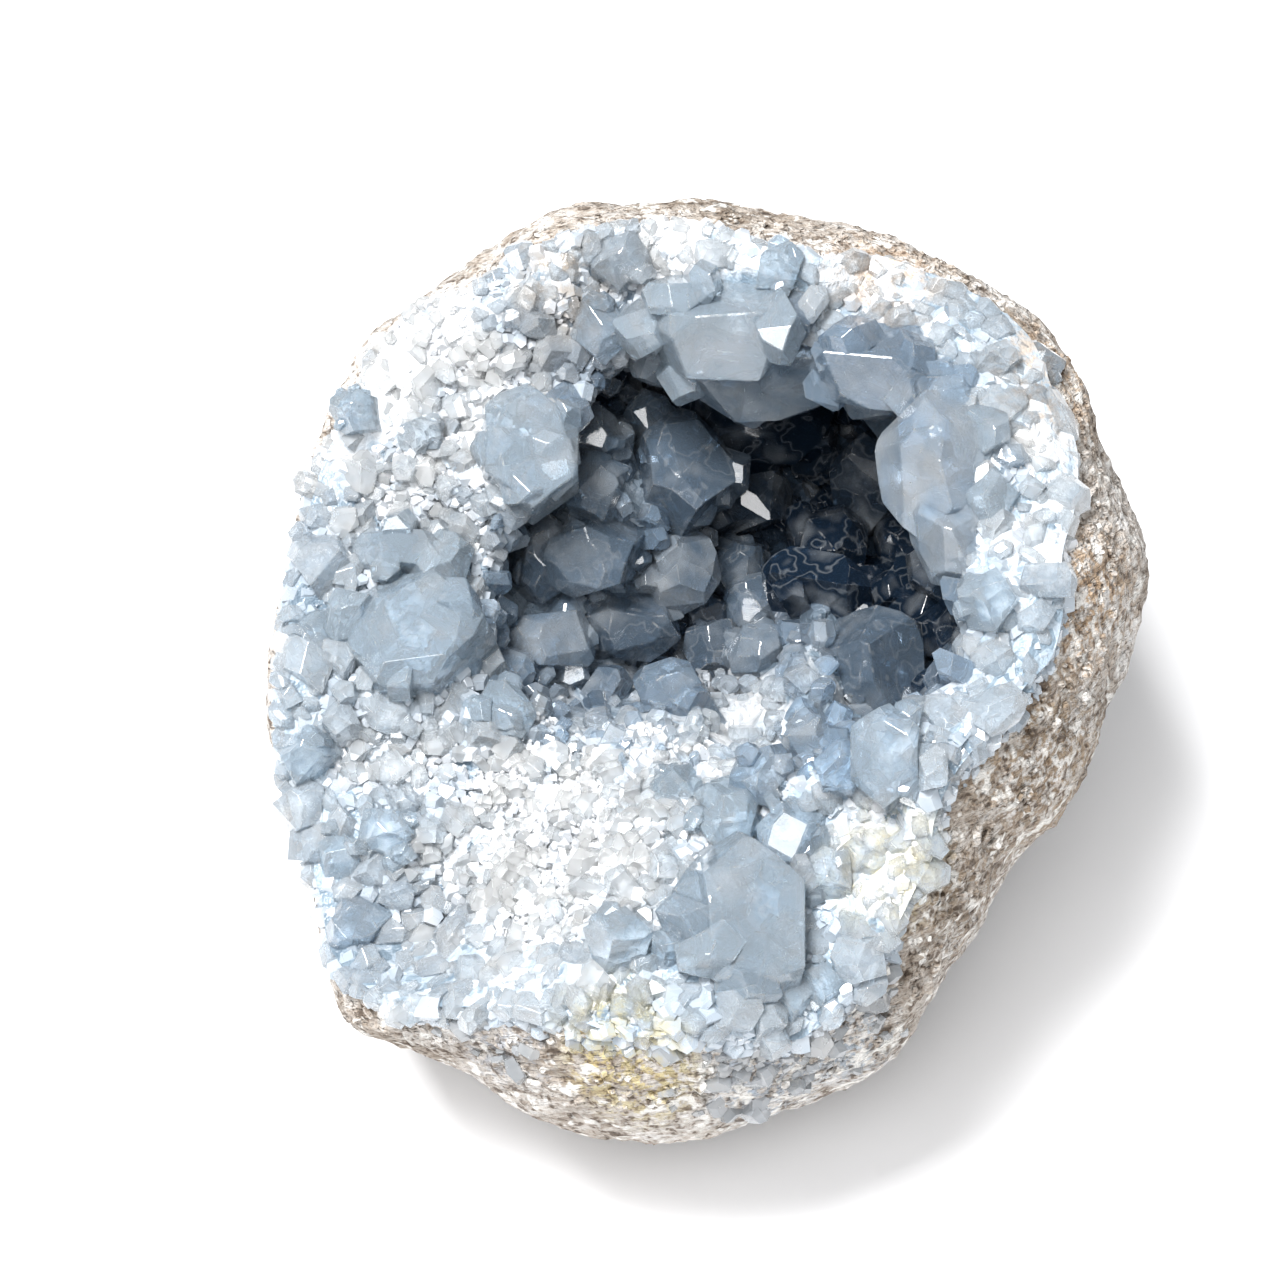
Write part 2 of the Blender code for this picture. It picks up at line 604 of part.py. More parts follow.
def scattered_crystals(form, taken):
    """Smaller crystals between the main ones, over the hollow's wall and the broken face."""
    draw = random.Random(SCATTER_SEED + 1)
    face = (form.edge_ring - FACE_RINGS, form.edge_ring)
    hollow = (2, HOLLOW_RINGS + 1)
    crystals = []
    for k in range(SCATTER_ON_FACE + SCATTER_IN_HOLLOW):
        rows = face if k < SCATTER_ON_FACE else hollow
        row, column = emptiest_place(draw, form, rows, taken)
        root = form.rings[row][column] + form.growth[row][column]
        taken.append(root)
        normal = form.normals[row][column]
        wobble = Vector((draw.uniform(-1, 1), draw.uniform(-1, 1), draw.uniform(-1, 1)))
        width = draw.uniform(*SCATTER_WIDTH)
        height = width * draw.uniform(0.45, 0.7)
        normals, distances = crystal_planes(draw, width, height, draw.uniform(0.6, 1.0))
        place = standing(root, normal + wobble * WOBBLE, draw.uniform(0, math.tau))
        corners = corners_of(normals, distances)
        crystals.append(crystal_object(f"small_crystal_{k}", corners, place))
    return crystals


# Booleans


def combine(thing, operation, cutters):
    """Applies an exact Boolean of each cutter in turn to an object, and removes the cutters."""
    for cutter in cutters:
        boolean = thing.modifiers.new(operation.lower(), "BOOLEAN")
        boolean.operation = operation
        boolean.solver = "EXACT"
        boolean.object = cutter
        evaluated = thing.evaluated_get(bpy.context.evaluated_depsgraph_get())
        result = bpy.data.meshes.new_from_object(evaluated)
        thing.modifiers.clear()
        thing.data = result
        bpy.data.objects.remove(cutter, do_unlink=True)


def connected_points(start):
    """All the points of a mesh that edges join to a point."""
    found = {start}
    waiting = [start]
    while waiting:
        for edge in waiting.pop().link_edges:
            for point in edge.verts:
                if point not in found:
                    found.add(point)
                    waiting.append(point)
    return found


def drop_crumbs(mesh):
    """Removes the bits of crystal that a Boolean cut off from the crust."""
    left = set(mesh.verts)
    bodies = []
    while left:
        bodies.append(connected_points(next(iter(left))))
        left -= bodies[-1]
    bodies.sort(key=len)
    for body in bodies[:-1]:
        bmesh.ops.delete(mesh, geom=list(body), context="VERTS")


def clean(thing):
    """Merges the points that a Boolean left almost in one place, and keeps one body."""
    mesh = bmesh.new()
    mesh.from_mesh(thing.data)
    bmesh.ops.remove_doubles(mesh, verts=mesh.verts, dist=CUT_MERGE)
    bmesh.ops.dissolve_degenerate(mesh, dist=CUT_MERGE, edges=mesh.edges)
    drop_crumbs(mesh)
    bmesh.ops.triangulate(mesh, faces=mesh.faces)
    mesh.to_mesh(thing.data)
    mesh.free()


# Materials


def material(name, colour, roughness, transmission=0.0, refraction=1.5):
    """A plain material with the piece's colour and gloss."""
    made = bpy.data.materials.new(name)
    made.use_nodes = True
    shader = made.node_tree.nodes["Principled BSDF"]
    shader.inputs["Base Color"].default_value = (*colour, 1)
    shader.inputs["Roughness"].default_value = roughness
    shader.inputs["Metallic"].default_value = 0.0
    shader.inputs["Transmission Weight"].default_value = transmission
    shader.inputs["IOR"].default_value = refraction
    return made


# The two pieces


def make_rind(form):
    """The stony rind: the whole nodule without the crystals that line it."""
    rind = solid_of_rings("rind", *form.stone())
    cut_flat_spot(rind)
    rind.data.materials.append(material("weathered_stone", (0.42, 0.37, 0.31), 0.9))
    return rind


def make_crust(form):
    """The crust of celestite: a bed along the wall and face, with crystals grown from it."""
    crust = solid_of_rings("crystal_crust", *form.bed())
    bed_tree = BVHTree.FromObject(crust, bpy.context.evaluated_depsgraph_get())
    crystals, roots = named_crystals(bed_tree)
    combine(crust, "UNION", crystals + scattered_crystals(form, roots))
    stone = solid_of_rings("stone_space", *form.stone())
    inflate(stone, NODE_GAP)
    combine(crust, "DIFFERENCE", [stone])
    clean(crust)
    crust.data.materials.clear()
    crust.data.materials.append(material("celestite", (0.52, 0.66, 0.78), 0.12, 0.7, 1.62))
    return crust


def set_on_origin(things):
    """Moves the pieces so that the flat spot is at Z 0 and their box is centred on the origin."""
    points = [vertex.co for thing in things for vertex in thing.data.vertices]
    middle_x = (min(p.x for p in points) + max(p.x for p in points)) / 2
    middle_y = (min(p.y for p in points) + max(p.y for p in points)) / 2
    move = Matrix.Translation((-middle_x, -middle_y, REST_DEPTH))
    for thing in things:
        thing.data.transform(move)


def build():
    """Builds the geode."""
    remove_everything()
    form = Form()
    set_on_origin([make_rind(form), make_crust(form)])


build()
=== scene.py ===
"""The looks of a celestite geode: its weathered stone, the crystal bed that lines it, and the
crystals grown from the bed.

The stone and the bed follow the same form as the frame's two nodes. That form is a coarse grid of
rings in a view frame: u to the right, v up and w towards the camera, all in metres.
"""

import itertools
import math
import random

import bmesh
import bpy
import numpy as np
from mathutils import Matrix, Vector, noise
from mathutils.bvhtree import BVHTree

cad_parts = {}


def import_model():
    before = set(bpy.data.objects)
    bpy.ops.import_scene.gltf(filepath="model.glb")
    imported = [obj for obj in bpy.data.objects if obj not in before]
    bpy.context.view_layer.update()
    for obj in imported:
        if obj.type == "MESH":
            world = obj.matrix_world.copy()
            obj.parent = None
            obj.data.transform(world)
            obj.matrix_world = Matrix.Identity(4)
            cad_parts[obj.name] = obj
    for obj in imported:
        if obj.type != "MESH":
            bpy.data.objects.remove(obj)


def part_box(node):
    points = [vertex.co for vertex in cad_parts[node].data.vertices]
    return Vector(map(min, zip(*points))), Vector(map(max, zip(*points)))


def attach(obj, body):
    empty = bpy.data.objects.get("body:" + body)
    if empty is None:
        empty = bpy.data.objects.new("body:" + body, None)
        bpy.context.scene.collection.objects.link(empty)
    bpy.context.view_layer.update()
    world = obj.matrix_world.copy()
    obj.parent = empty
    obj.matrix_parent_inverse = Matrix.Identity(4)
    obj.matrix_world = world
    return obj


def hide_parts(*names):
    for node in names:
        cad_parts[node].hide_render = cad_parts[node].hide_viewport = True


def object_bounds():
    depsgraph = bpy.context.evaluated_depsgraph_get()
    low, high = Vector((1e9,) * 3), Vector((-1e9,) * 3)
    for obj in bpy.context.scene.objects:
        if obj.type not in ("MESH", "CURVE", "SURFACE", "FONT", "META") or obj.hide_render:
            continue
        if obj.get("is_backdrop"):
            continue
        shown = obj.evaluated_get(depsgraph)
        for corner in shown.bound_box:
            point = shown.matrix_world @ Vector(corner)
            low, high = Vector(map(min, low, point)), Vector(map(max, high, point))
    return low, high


MM = 0.001

# The view that the outlines are drawn in, which is the camera's
VIEW_ELEVATION = math.radians(50)
EYE_DISTANCE = 420 * MM
EYE_U = -6.6 * MM
EYE_V = 3.3 * MM
U_AXIS = Vector((1, 0, 0))
V_AXIS = Vector((0, math.sin(VIEW_ELEVATION), math.cos(VIEW_ELEVATION)))
W_AXIS = Vector((0, -math.cos(VIEW_ELEVATION), math.sin(VIEW_ELEVATION)))
SENSOR = 36
VIEW_WIDTH = 140.8 * MM

# The nodule's outline, the hollow's lip and the line where the crystals end, in mm every 15 degrees
OUTLINE = (46.2, 49.3, 51.0, 54.2, 51.9, 50.6, 51.3, 52.6, 51.5, 51.3, 48.0, 46.6,
           47.2, 47.6, 48.8, 53.6, 50.8, 51.8, 51.4, 48.0, 46.0, 42.2, 41.3, 44.0)
LIP = (28.6, 31.0, 35.5, 39.5, 38.5, 37.5, 36.3, 35.5, 31.0, 27.5, 26.4, 24.6,
       24.0, 20.5, 17.0, 12.5, 10.8, 10.2, 10.0, 11.8, 14.3, 17.4, 19.8, 23.4)
CRUST_EDGE = (35.2, 40.0, 46.2, 50.0, 48.4, 47.3, 48.4, 48.8, 49.0, 50.4, 47.4, 46.2,
              46.8, 47.2, 48.2, 51.0, 43.6, 38.6, 38.6, 41.5, 36.9, 31.9, 29.2, 30.6)
MEAN_OUTLINE = 49 * MM
EDGE_LIMIT = 0.988
EDGE_WAVES = ((7, 0.7, 1.0), (11, 0.5, 2.1), (17, 0.4, 0.3))

# Depths of the form along w
FRONT_DOME = 40 * MM
BACK_DOME = 50 * MM
TOP_LEAN = -0.2
HOLLOW_POLE = (14 * MM, 12 * MM, -32 * MM)
FLOOR_STEPS = (0.35, 0.7)

# How each part of the wall changes around the geode: its mean, and its change to the right and up
LIP_DROP = (6.5 * MM, -3.5 * MM, -1.5 * MM)
BELLY_OUT = (-0.6 * MM, 2.6 * MM, 3.2 * MM)
BELLY_DROP = (13.0 * MM, 3.0 * MM, 1.0 * MM)
FLOOR_POWER = (2.3, 0.7, 0.3)
BED_DEPTH = (2.0 * MM, -0.6 * MM, -0.1 * MM)

# The broken face, and the masses of crystal and the pits on the wall: u, v, spread and height in mm
FACE_LEVEL = 19 * MM
FACE_SLOPES = (0.24, -0.37)
FACE_MIDDLE = 0.55
FACE_RISE = 1.2 * MM
MASSES = (
    (-7, 16, 12, 17),
    (12, -3, 6.5, 24),
    (13.5, 6, 5.5, 20),
    (-31, 3, 6, 2),
    (-12, -22, 7, 1.5),
)
PITS = ((-27.5, -30, 4.5, -7),)

# Relief of the bed and of the stone
BED_LUMP_SIZE = 9 * MM
BED_LUMP_HEIGHT = 2.0 * MM
LUMP_SIZE = 19 * MM
LUMP_HEIGHT = 1.5 * MM
KNOB_SIZE = 7.5 * MM
KNOB_HEIGHT = 0.8 * MM
LAYER_NORMAL = Vector((0.30, 0.55, 0.78)).normalized()
LEDGE_SPACING = 7 * MM
LEDGE_HEIGHT = 0.9 * MM
LEDGE_WANDER = 0.6
LEDGE_LEVEL = 0.35
NOISE_SHIFT = Vector((3.1, 7.7, 5.3))

# The coarse grid
REST_DEPTH = 43.2 * MM
COLUMNS = 48
HOLLOW_RINGS = 6
WALL_RINGS = 2
FACE_RINGS = 5
DOME_RINGS = 4
BACK_RINGS = 8
NORMAL_PASSES = 2
BOWL_RISE = 0.6
EDGE_BED = 0.9 * MM
CRUST_TUCK = 1.3 * MM

# The depths along w between which the crystals and bed turn from deep blue-grey to pale: partly their deeper
# blue, partly painted shade deep in the hollow
DARKEST_SHADE_LEVEL = -30 * MM
PALE_UNSHADED_LEVEL = 8 * MM

# Where the crust is white and sugary: u, v and reach in mm in the view frame, and how white it is
WHITE_PATCHES = (
    (-17, -20, 14, 1.3),
    (-29, 35, 13, 1.2),
    (-30, 19, 9, 0.6),
    (39, 20, 13, 0.6),
    (4, -4, 9, 1.2),
    (-3, 48, 10, 0.9),
    (20, 44, 9, 0.8),
    (19, -21, 8, 0.8),
    (-37, -8, 8, 0.4),
)
WHITE_WANDER = 0.35
WANDER_SIZE = 6 * MM

# Where the crystals and bed are greyer and darker than their depth makes them, in the same way: partly grey
# tone, partly painted shade over the hollow's dark pit
GREY_AND_SHADE_PATCHES = (
    (-12, 37, 9, 0.35),
    (-35, -31, 9, 0.40),
    (-24, -30, 6, 0.35),
    (26, 6, 6, 0.8),
    (27, -2, 5, 0.6),
    (13, 23, 5.5, 1.2),
    (13, 14, 5.5, 1.2),
    (20, 12, 4, 0.9),
    (24, 23, 7, -0.4),
    (20, 35, 5, 0.35),
    (17, 6, 5, -0.25),
    (-5, 19, 8, -0.12),
)

# The fine grids: columns, coarse rings that they span, and steps between two rings
FINE_COLUMNS = 384
STONE_SPAN = (-0.9, -0.15)
STONE_STEPS = 11
HIDDEN_STEPS = 2
HOLLOW_BED = ((-0.93, 7.5, 10), 288)
FACE_BED_START = 7.0
FACE_BED_STEPS = 16
FACE_BED_COLUMNS = 720
BED_PAST_EDGE = 0.35
BED_BACK = 2.0 * MM

# Crystals: u, v, width and height above the bed, all in mm, the way the tip points in the view
# frame, and how thick the crystal is for its width. Where they matter, the turn in degrees of its
# wide way in the view frame and how much of its tip is left come last.
CRYSTALS = (
    # The cluster on the left of the hollow
    (-3, 21, 11.5, 9, (0.1, 0.3, 1.0), 0.85, 90, 0.85),
    (-11.5, 19, 8, 5.5, (-0.2, 0.3, 1.0), 0.8),
    (-11.5, 24.5, 7.5, 5, (-0.4, 0.6, 0.8), 0.8),
    (-6, 27, 5.5, 4, (0.1, 0.8, 0.8), 0.8),
    (4.5, 18, 8.5, 6, (0.7, 0.3, 0.7), 0.8),
    (-11.5, 12.5, 9, 6, (-0.3, -0.1, 0.9), 0.9),
    (-3, 11, 9, 6.5, (0.1, -0.2, 1.0), 0.8),
    (3, 11.5, 8, 5.5, (0.5, -0.3, 0.8), 0.8),
    (-8, 6, 9.5, 6, (-0.2, -0.5, 0.9), 0.7),
    (0, 5.5, 8, 5, (0.3, -0.6, 0.8), 0.7),
    (-17.5, 12.5, 8.5, 4.5, (0.5, 0.2, 0.8), 0.8),
    (-17, 3, 9.5, 5, (0.3, 0.1, 0.9), 0.7),
    # Those hanging from the top of the hollow
    (2, 38.5, 15, 8, (0.0, -0.6, 0.8), 0.62, 0, 0.8),
    (6, 31, 16, 10, (0.1, -0.5, 0.85), 0.78, 0, 0.8),
    (12, 26.5, 6, 5.5, (0.2, -0.9, 0.4), 0.8),
    (5, 25.5, 8, 5.5, (0.0, -0.8, 0.6), 0.7),
    (11, 36, 5, 4, (0.3, 0.0, 1.0), 0.8),
    (20, 33.5, 11.5, 6.5, (-0.1, -0.5, 0.8), 0.6, 0, 0.85),
    (-9.5, 31.5, 5, 3.5, (0.2, -0.2, 1.0), 0.8),
    (-11, 37.5, 6.5, 3, (0.1, -0.2, 1.0), 0.9),
    (-9, 45, 6, 3, (0.0, 0.3, 0.9), 0.8),
    (9, 44, 5, 2.5, (0.1, 0.4, 0.9), 0.8),
    # Those on the right wall and rim
    (24.5, 28.5, 8, 10.5, (-0.25, 0.2, 0.95), 1.0, 0, 0.8),
    (20.5, 21, 10.5, 9, (-0.5, 0.0, 0.85), 0.8, 90, 0.9),
    (27, 21.5, 8, 6, (-0.3, 0.1, 0.95), 0.8),
    (25, 14.5, 8.5, 7, (-0.4, -0.7, 0.6), 0.8),
    (31.5, 26, 5.5, 3, (-0.1, 0.1, 1.0), 0.8),
    (32, 18.5, 5.5, 3, (-0.1, 0.0, 1.0), 0.8),
    (31.5, 7, 6, 3.5, (-0.3, 0.1, 0.9), 0.8),
    (26, 4, 16, 6, (-0.8, 0.2, 0.5), 0.5, 90, 0.9),
    (37, 33, 5, 2.5, (0.1, 0.2, 1.0), 0.8),
    # The spur that climbs from the lower lip
    (14, 11.5, 9, 6.5, (0.1, 0.6, 0.8), 0.8),
    (13, 8, 11, 7, (-0.1, 0.4, 0.9), 0.45, 150, 0.75),
    (7, 6, 7, 5, (-0.4, 0.3, 0.9), 0.8),
    (19, 8, 7.5, 6.5, (0.6, 0.4, 0.7), 0.8),
    (17, -0.5, 11.5, 8, (0.4, 0.0, 0.9), 0.9, 90, 0.8),
    (7, 1.5, 7, 4, (-0.2, 0.1, 1.0), 0.8),
    (2, 1.5, 6.5, 4, (-0.3, 0.3, 0.9), 0.8),
    (-2.5, -3.5, 8, 5, (-0.4, 0.4, 0.8), 0.8),
    (12, -8.5, 5.5, 3, (0.0, 0.1, 1.0), 0.8),
    (7, -12, 6, 3, (-0.1, 0.1, 1.0), 0.8),
    (-2, -13, 5, 2.5, (-0.1, 0.1, 1.0), 0.8),
    (15.5, -11, 6, 3.5, (0.2, 0.3, 0.9), 0.8),
    (21, -9.5, 9, 5.5, (-0.1, 0.3, 1.0), 0.85, 90, 0.8),
    # The lower front, with the largest crystal
    (4.5, -28, 15.5, 9, (0.05, -0.35, 0.93), 0.78, 90, 0.75),
    (3.5, -16, 8, 4, (0.0, 0.1, 1.0), 0.7),
    (10, -18, 8, 4, (0.2, 0.1, 1.0), 0.8),
    (14, -23, 6.5, 2.5, (0.2, -0.2, 1.0), 0.8),
    (-8.5, -30, 6.5, 4, (-0.1, -0.4, 0.9), 0.8),
    (-3.5, -30.5, 4.5, 2.5, (0.0, -0.3, 1.0), 0.8),
    (9.5, -36, 5.5, 2.5, (0.2, -0.6, 0.8), 0.8),
    (13.5, -34, 5, 2, (0.3, -0.5, 0.8), 0.8),
    # The broad shelf and rim on the left
    (-31.5, 3.5, 15, 6, (-0.1, 0.2, 1.0), 0.9, 0, 0.85),
    (-19, 24, 12, 6.5, (0.1, 0.1, 1.0), 0.9, 90, 0.8),
    (-33.5, 12.5, 8.5, 3.5, (0.0, 0.4, 0.9), 0.5, 0, 0.9),
    (-28, 11.5, 6, 3.5, (0.3, -0.1, 0.9), 0.8),
    (-41.5, 4, 5, 2.5, (-0.5, 0.1, 0.8), 0.8),
    (-30.5, 25.5, 4.5, 2, (-0.1, 0.3, 1.0), 0.8),
    (-38, 28.5, 5, 2, (-0.4, 0.4, 0.8), 0.8),
    (-21.5, -5, 7, 3, (0.2, 0.3, 0.9), 0.8),
    (-34, -18, 6, 2.5, (-0.3, 0.0, 0.9), 0.8),
    (-39, -20, 5.5, 2.5, (-0.6, -0.1, 0.8), 0.8),
    (-43, -9.5, 6, 3, (-0.8, 0.0, 0.6), 0.8),
    (-38, -28, 6, 3, (-0.6, -0.4, 0.7), 0.8),
)
AIM_SHARE = 0.75
WALL_SHARE = 0.45
LIP_MARGIN = 1.02

# Crystals that hang from the wall just under the lip: the angle around the geode and the place
# between rings, then the rest as for CRYSTALS
OVERHANGS = (
    (81, 6.3, 16, 11, (0.05, -0.75, 0.65), 0.72, 0, 0.85),
    (73, 6.1, 9, 9, (0.1, -0.9, 0.35), 0.8, 0, 0.9),
    (96, 6.3, 8, 7, (-0.1, -0.7, 0.7), 0.8),
    (50, 6.5, 8.5, 7.5, (-0.12, -0.22, 1.0), 1.0, 0, 0.72),
    (36, 6.3, 13, 12, (-0.8, -0.05, 0.6), 0.85, 90, 0.85),
    (26, 6.2, 10, 9.5, (-0.75, -0.3, 0.55), 0.85, 90, 0.9),
    (44, 6.4, 8, 7, (-0.6, 0.1, 0.8), 0.8),
    (60, 6.4, 8, 6, (-0.2, -0.8, 0.5), 0.8),
)

# The turns of a crystal's sides and end faces, in degrees; a side's reach is None on its flat sides
STOUT_SIDES = ((0, None), (52, 1.0), (128, 1.0), (180, None), (232, 1.0), (308, 1.0))
STOUT_ENDS = (20, 110, 200, 290)
SLIM_SIDES = ((0, None), (64, 1.0), (130, 1.0), (195, 1.0), (285, 1.0))
SLIM_ENDS = (30, 150, 265)
TURN_SPREAD = 12
SIDE_LEAN = (-0.05, 0.10)
SIDE_REACH = (0.86, 1.06)
END_SLOPE = (38, 58)
END_CORNER = (0.30, 0.75)
TIP_TILT = 0.25
TIP_CUT = (0.93, 1.05)
SINK = 3.2 * MM
STOUT_WIDTH = 6.6 * MM
SEED = 11
CORNER_MERGE = 0.05 * MM

# Where chips lie on the stone: u, v, reach in mm, and how densely
STONE_PATCHES = (
    (7, -40, 6, 1.2),
    (15, -36, 5, 1.1),
    (-5, -37, 5, 0.5),
    (-23, -37, 5, 0.6),
)

# The crystals between the main ones: the piece, its material, the surface and the coarse rings they
# grow on, how many are tried, their widths in mm, the room each keeps for its width, how far they
# lean, their heights for their width, how milky they are, and the patches they keep to
SCATTERS = (
    ("hollow_small_crystals", "clear", "bed", (0.3, 7.4), 900, (2.4, 6.0), 0.33, 0.35, (0.6, 1.2), 0.0, None),
    ("rim_small_crystals", "chip", "bed", (6.6, 12.3), 2600, (3.0, 6.5), 0.27, 0.45, (0.35, 0.8), -0.1, None),
    ("druse_chips", "milky", "bed", (6.6, 12.6), 9000, (1.5, 3.2), 0.25, 0.55, (0.4, 0.9), 0.0, None),
    ("edge_chips", "milky", "bed", (11.5, 12.55), 5000, (1.3, 3.0), 0.2, 0.5, (0.4, 0.8), 0.25, None),
    ("stone_chips", "grey", "stone", (11.8, 14.6), 7000, (1.3, 3.6), 0.26, 0.4, (0.2, 0.5), 0.0,
     STONE_PATCHES),
    ("druse_grains", "milky", "bed", (6.0, 12.8), 9000, (0.7, 1.6), 0.30, 0.6, (0.4, 0.9), 0.2, None),
    ("border_grit", "stone", "stone", (12.0, 14.0), 5200, (0.7, 2.6), 0.24, 0.6, (0.2, 0.5), 0.0, None),
)
# How much narrower they are where the crust is white, and the width in mm past which they are bevelled
SUGAR_SHRINK = 0.45
WHOLE_WIDTH = 5
SHAPES_EACH = 30
SHAPE_BEVEL = 0.014
CELL = 4 * MM
SCATTER_STEPS = 6
SCATTER_SIDES = (0.7, 1.1)
UNIT_SINK = 0.45


# The form, as in the frame's nodes


def blended(a, b, c, d, t):
    """Values on the smooth curve between b and c, whose neighbours are a and d."""
    return b + 0.5 * t * (c - a + t * (2 * a - 5 * b + 4 * c - d + t * (3 * (b - c) + d - a)))


def around(values, angle):
    """A closed outline's radius in metres at an angle, on a smooth curve through its values."""
    count = len(values)
    place = angle / math.tau * count
    first = math.floor(place)
    t = place - first
    return blended(*(values[(first + k) % count] for k in (-1, 0, 1, 2)), t) * MM


def crust_edge(angle):
    """The radius at which the crystals end and the bare stone starts."""
    waves = sum(height * math.sin(count * angle + start) for count, height, start in EDGE_WAVES)
    return min(around(CRUST_EDGE, angle) + waves * MM, EDGE_LIMIT * around(OUTLINE, angle))


def varied(terms, angle):
    """A value that changes smoothly around the geode, to the right and upwards."""
    mean, rightward, upward = terms
    return mean + rightward * math.cos(angle) + upward * math.sin(angle)


def to_world(u, v, w):
    """A point of the view frame in world axes."""
    return U_AXIS * u + V_AXIS * v + W_AXIS * w


def seen_at(u, v, w):
    """The point that shows at (u, v) on the middle plane and lies w nearer to the eye."""
    scale = 1 - w / EYE_DISTANCE
    return to_world(EYE_U + (u - EYE_U) * scale, EYE_V + (v - EYE_V) * scale, w)


def on_dome(angle, radius, outline, dome):
    """A point of the outer surface: the front of the nodule for a positive dome, else its back."""
    share = min(radius / outline, 1.0)
    u = radius * math.cos(angle)
    v = radius * math.sin(angle)
    return Vector((u, v, dome * math.sqrt(1 - share * share) + TOP_LEAN * v))


def wall_keys(angle):
    """The points, from the hollow's deepest point out to the rind, that the wall passes through."""
    outline = around(OUTLINE, angle)
    direction = Vector((math.cos(angle), math.sin(angle), 0))
    edge = on_dome(angle, crust_edge(angle), outline, FRONT_DOME)
    lip = direction * around(LIP, angle)
    lip.z = FACE_LEVEL + lip.xy.dot(Vector(FACE_SLOPES)) - varied(LIP_DROP, angle)
    middle = lip.lerp(edge, FACE_MIDDLE) + Vector((0, 0, FACE_RISE))
    belly = lip + direction * varied(BELLY_OUT, angle)
    belly.z -= varied(BELLY_DROP, angle)
    pole = Vector(HOLLOW_POLE)
    keys = [pole]
    for step in FLOOR_STEPS:
        point = pole.lerp(belly, step)
        point.z = pole.z + (belly.z - pole.z) * step ** varied(FLOOR_POWER, angle)
        keys.append(point)
    return keys + [belly, lip, middle, edge]


def curve_through(keys, place):
    """A point on the smooth curve through keys, at a place counted in keys."""
    first = min(int(place), len(keys) - 2)
    t = place - first
    b = keys[first]
    c = keys[first + 1]
    a = keys[first - 1] if first > 0 else b * 2 - c
    d = keys[first + 2] if first + 2 < len(keys) else c * 2 - b
    return blended(a, b, c, d, t)


def patched(patches, u, v, unit=1):
    """The strength at (u, v) of round patches that fade outwards, in a unit."""
    total = 0.0
    for at_u, at_v, reach, strength in patches:
        distance = math.hypot(u - at_u * MM, v - at_v * MM) / (reach * MM)
        total += strength * unit * math.exp(-distance * distance)
    return total


def raised(point, amount):
    """A point of the view frame, moved towards the viewer."""
    return point + Vector((0, 0, amount))


def ring_places():
    """Each ring's part of the form and its place there, from the hollow's pole to the back."""
    places = [("wall", 3 * (k + 1) / HOLLOW_RINGS) for k in range(HOLLOW_RINGS)]
    places += [("wall", 3 + (k + 1) / WALL_RINGS) for k in range(WALL_RINGS)]
    places += [("wall", 4 + 2 * (k + 1) / FACE_RINGS) for k in range(FACE_RINGS)]
    places += [("dome", (k + 1) / DOME_RINGS) for k in range(DOME_RINGS)]
    places += [("back", (k + 1) / BACK_RINGS) for k in range(BACK_RINGS - 1)]
    return places


def form_point(part, place, angle):
    """A point of the smooth form, in the view frame."""
    outline = around(OUTLINE, angle)
    if part == "wall":
        point = curve_through(wall_keys(angle), place)
        return raised(point, patched(PITS, point.x, point.y, MM))
    if part == "dome":
        start = math.acos(crust_edge(angle) / outline)
        turn = start * (1 - place)
        return on_dome(angle, outline * math.cos(turn), outline, FRONT_DOME)
    turn = place * math.pi / 2
    outline += (MEAN_OUTLINE - outline) * place * place
    return on_dome(angle, outline * math.cos(turn), outline, -BACK_DOME)


def bed_relief(point):
    """How far the crystal bed stands out at a world point."""
    return BED_LUMP_HEIGHT * noise.noise(point / BED_LUMP_SIZE + NOISE_SHIFT)


def stone_relief(point):
    """How far the stone's surface stands out at a world point, from lumps, knobs and ledges."""
    lump = LUMP_HEIGHT * noise.noise(point / LUMP_SIZE + NOISE_SHIFT)
    knob = KNOB_HEIGHT * noise.noise(point / KNOB_SIZE + NOISE_SHIFT)
    layer = point.dot(LAYER_NORMAL) / LEDGE_SPACING + LEDGE_WANDER * noise.noise(point / LUMP_SIZE)
    step = layer - math.floor(layer)
    ledge = LEDGE_HEIGHT * (step * step - LEDGE_LEVEL)
    return lump + knob + ledge


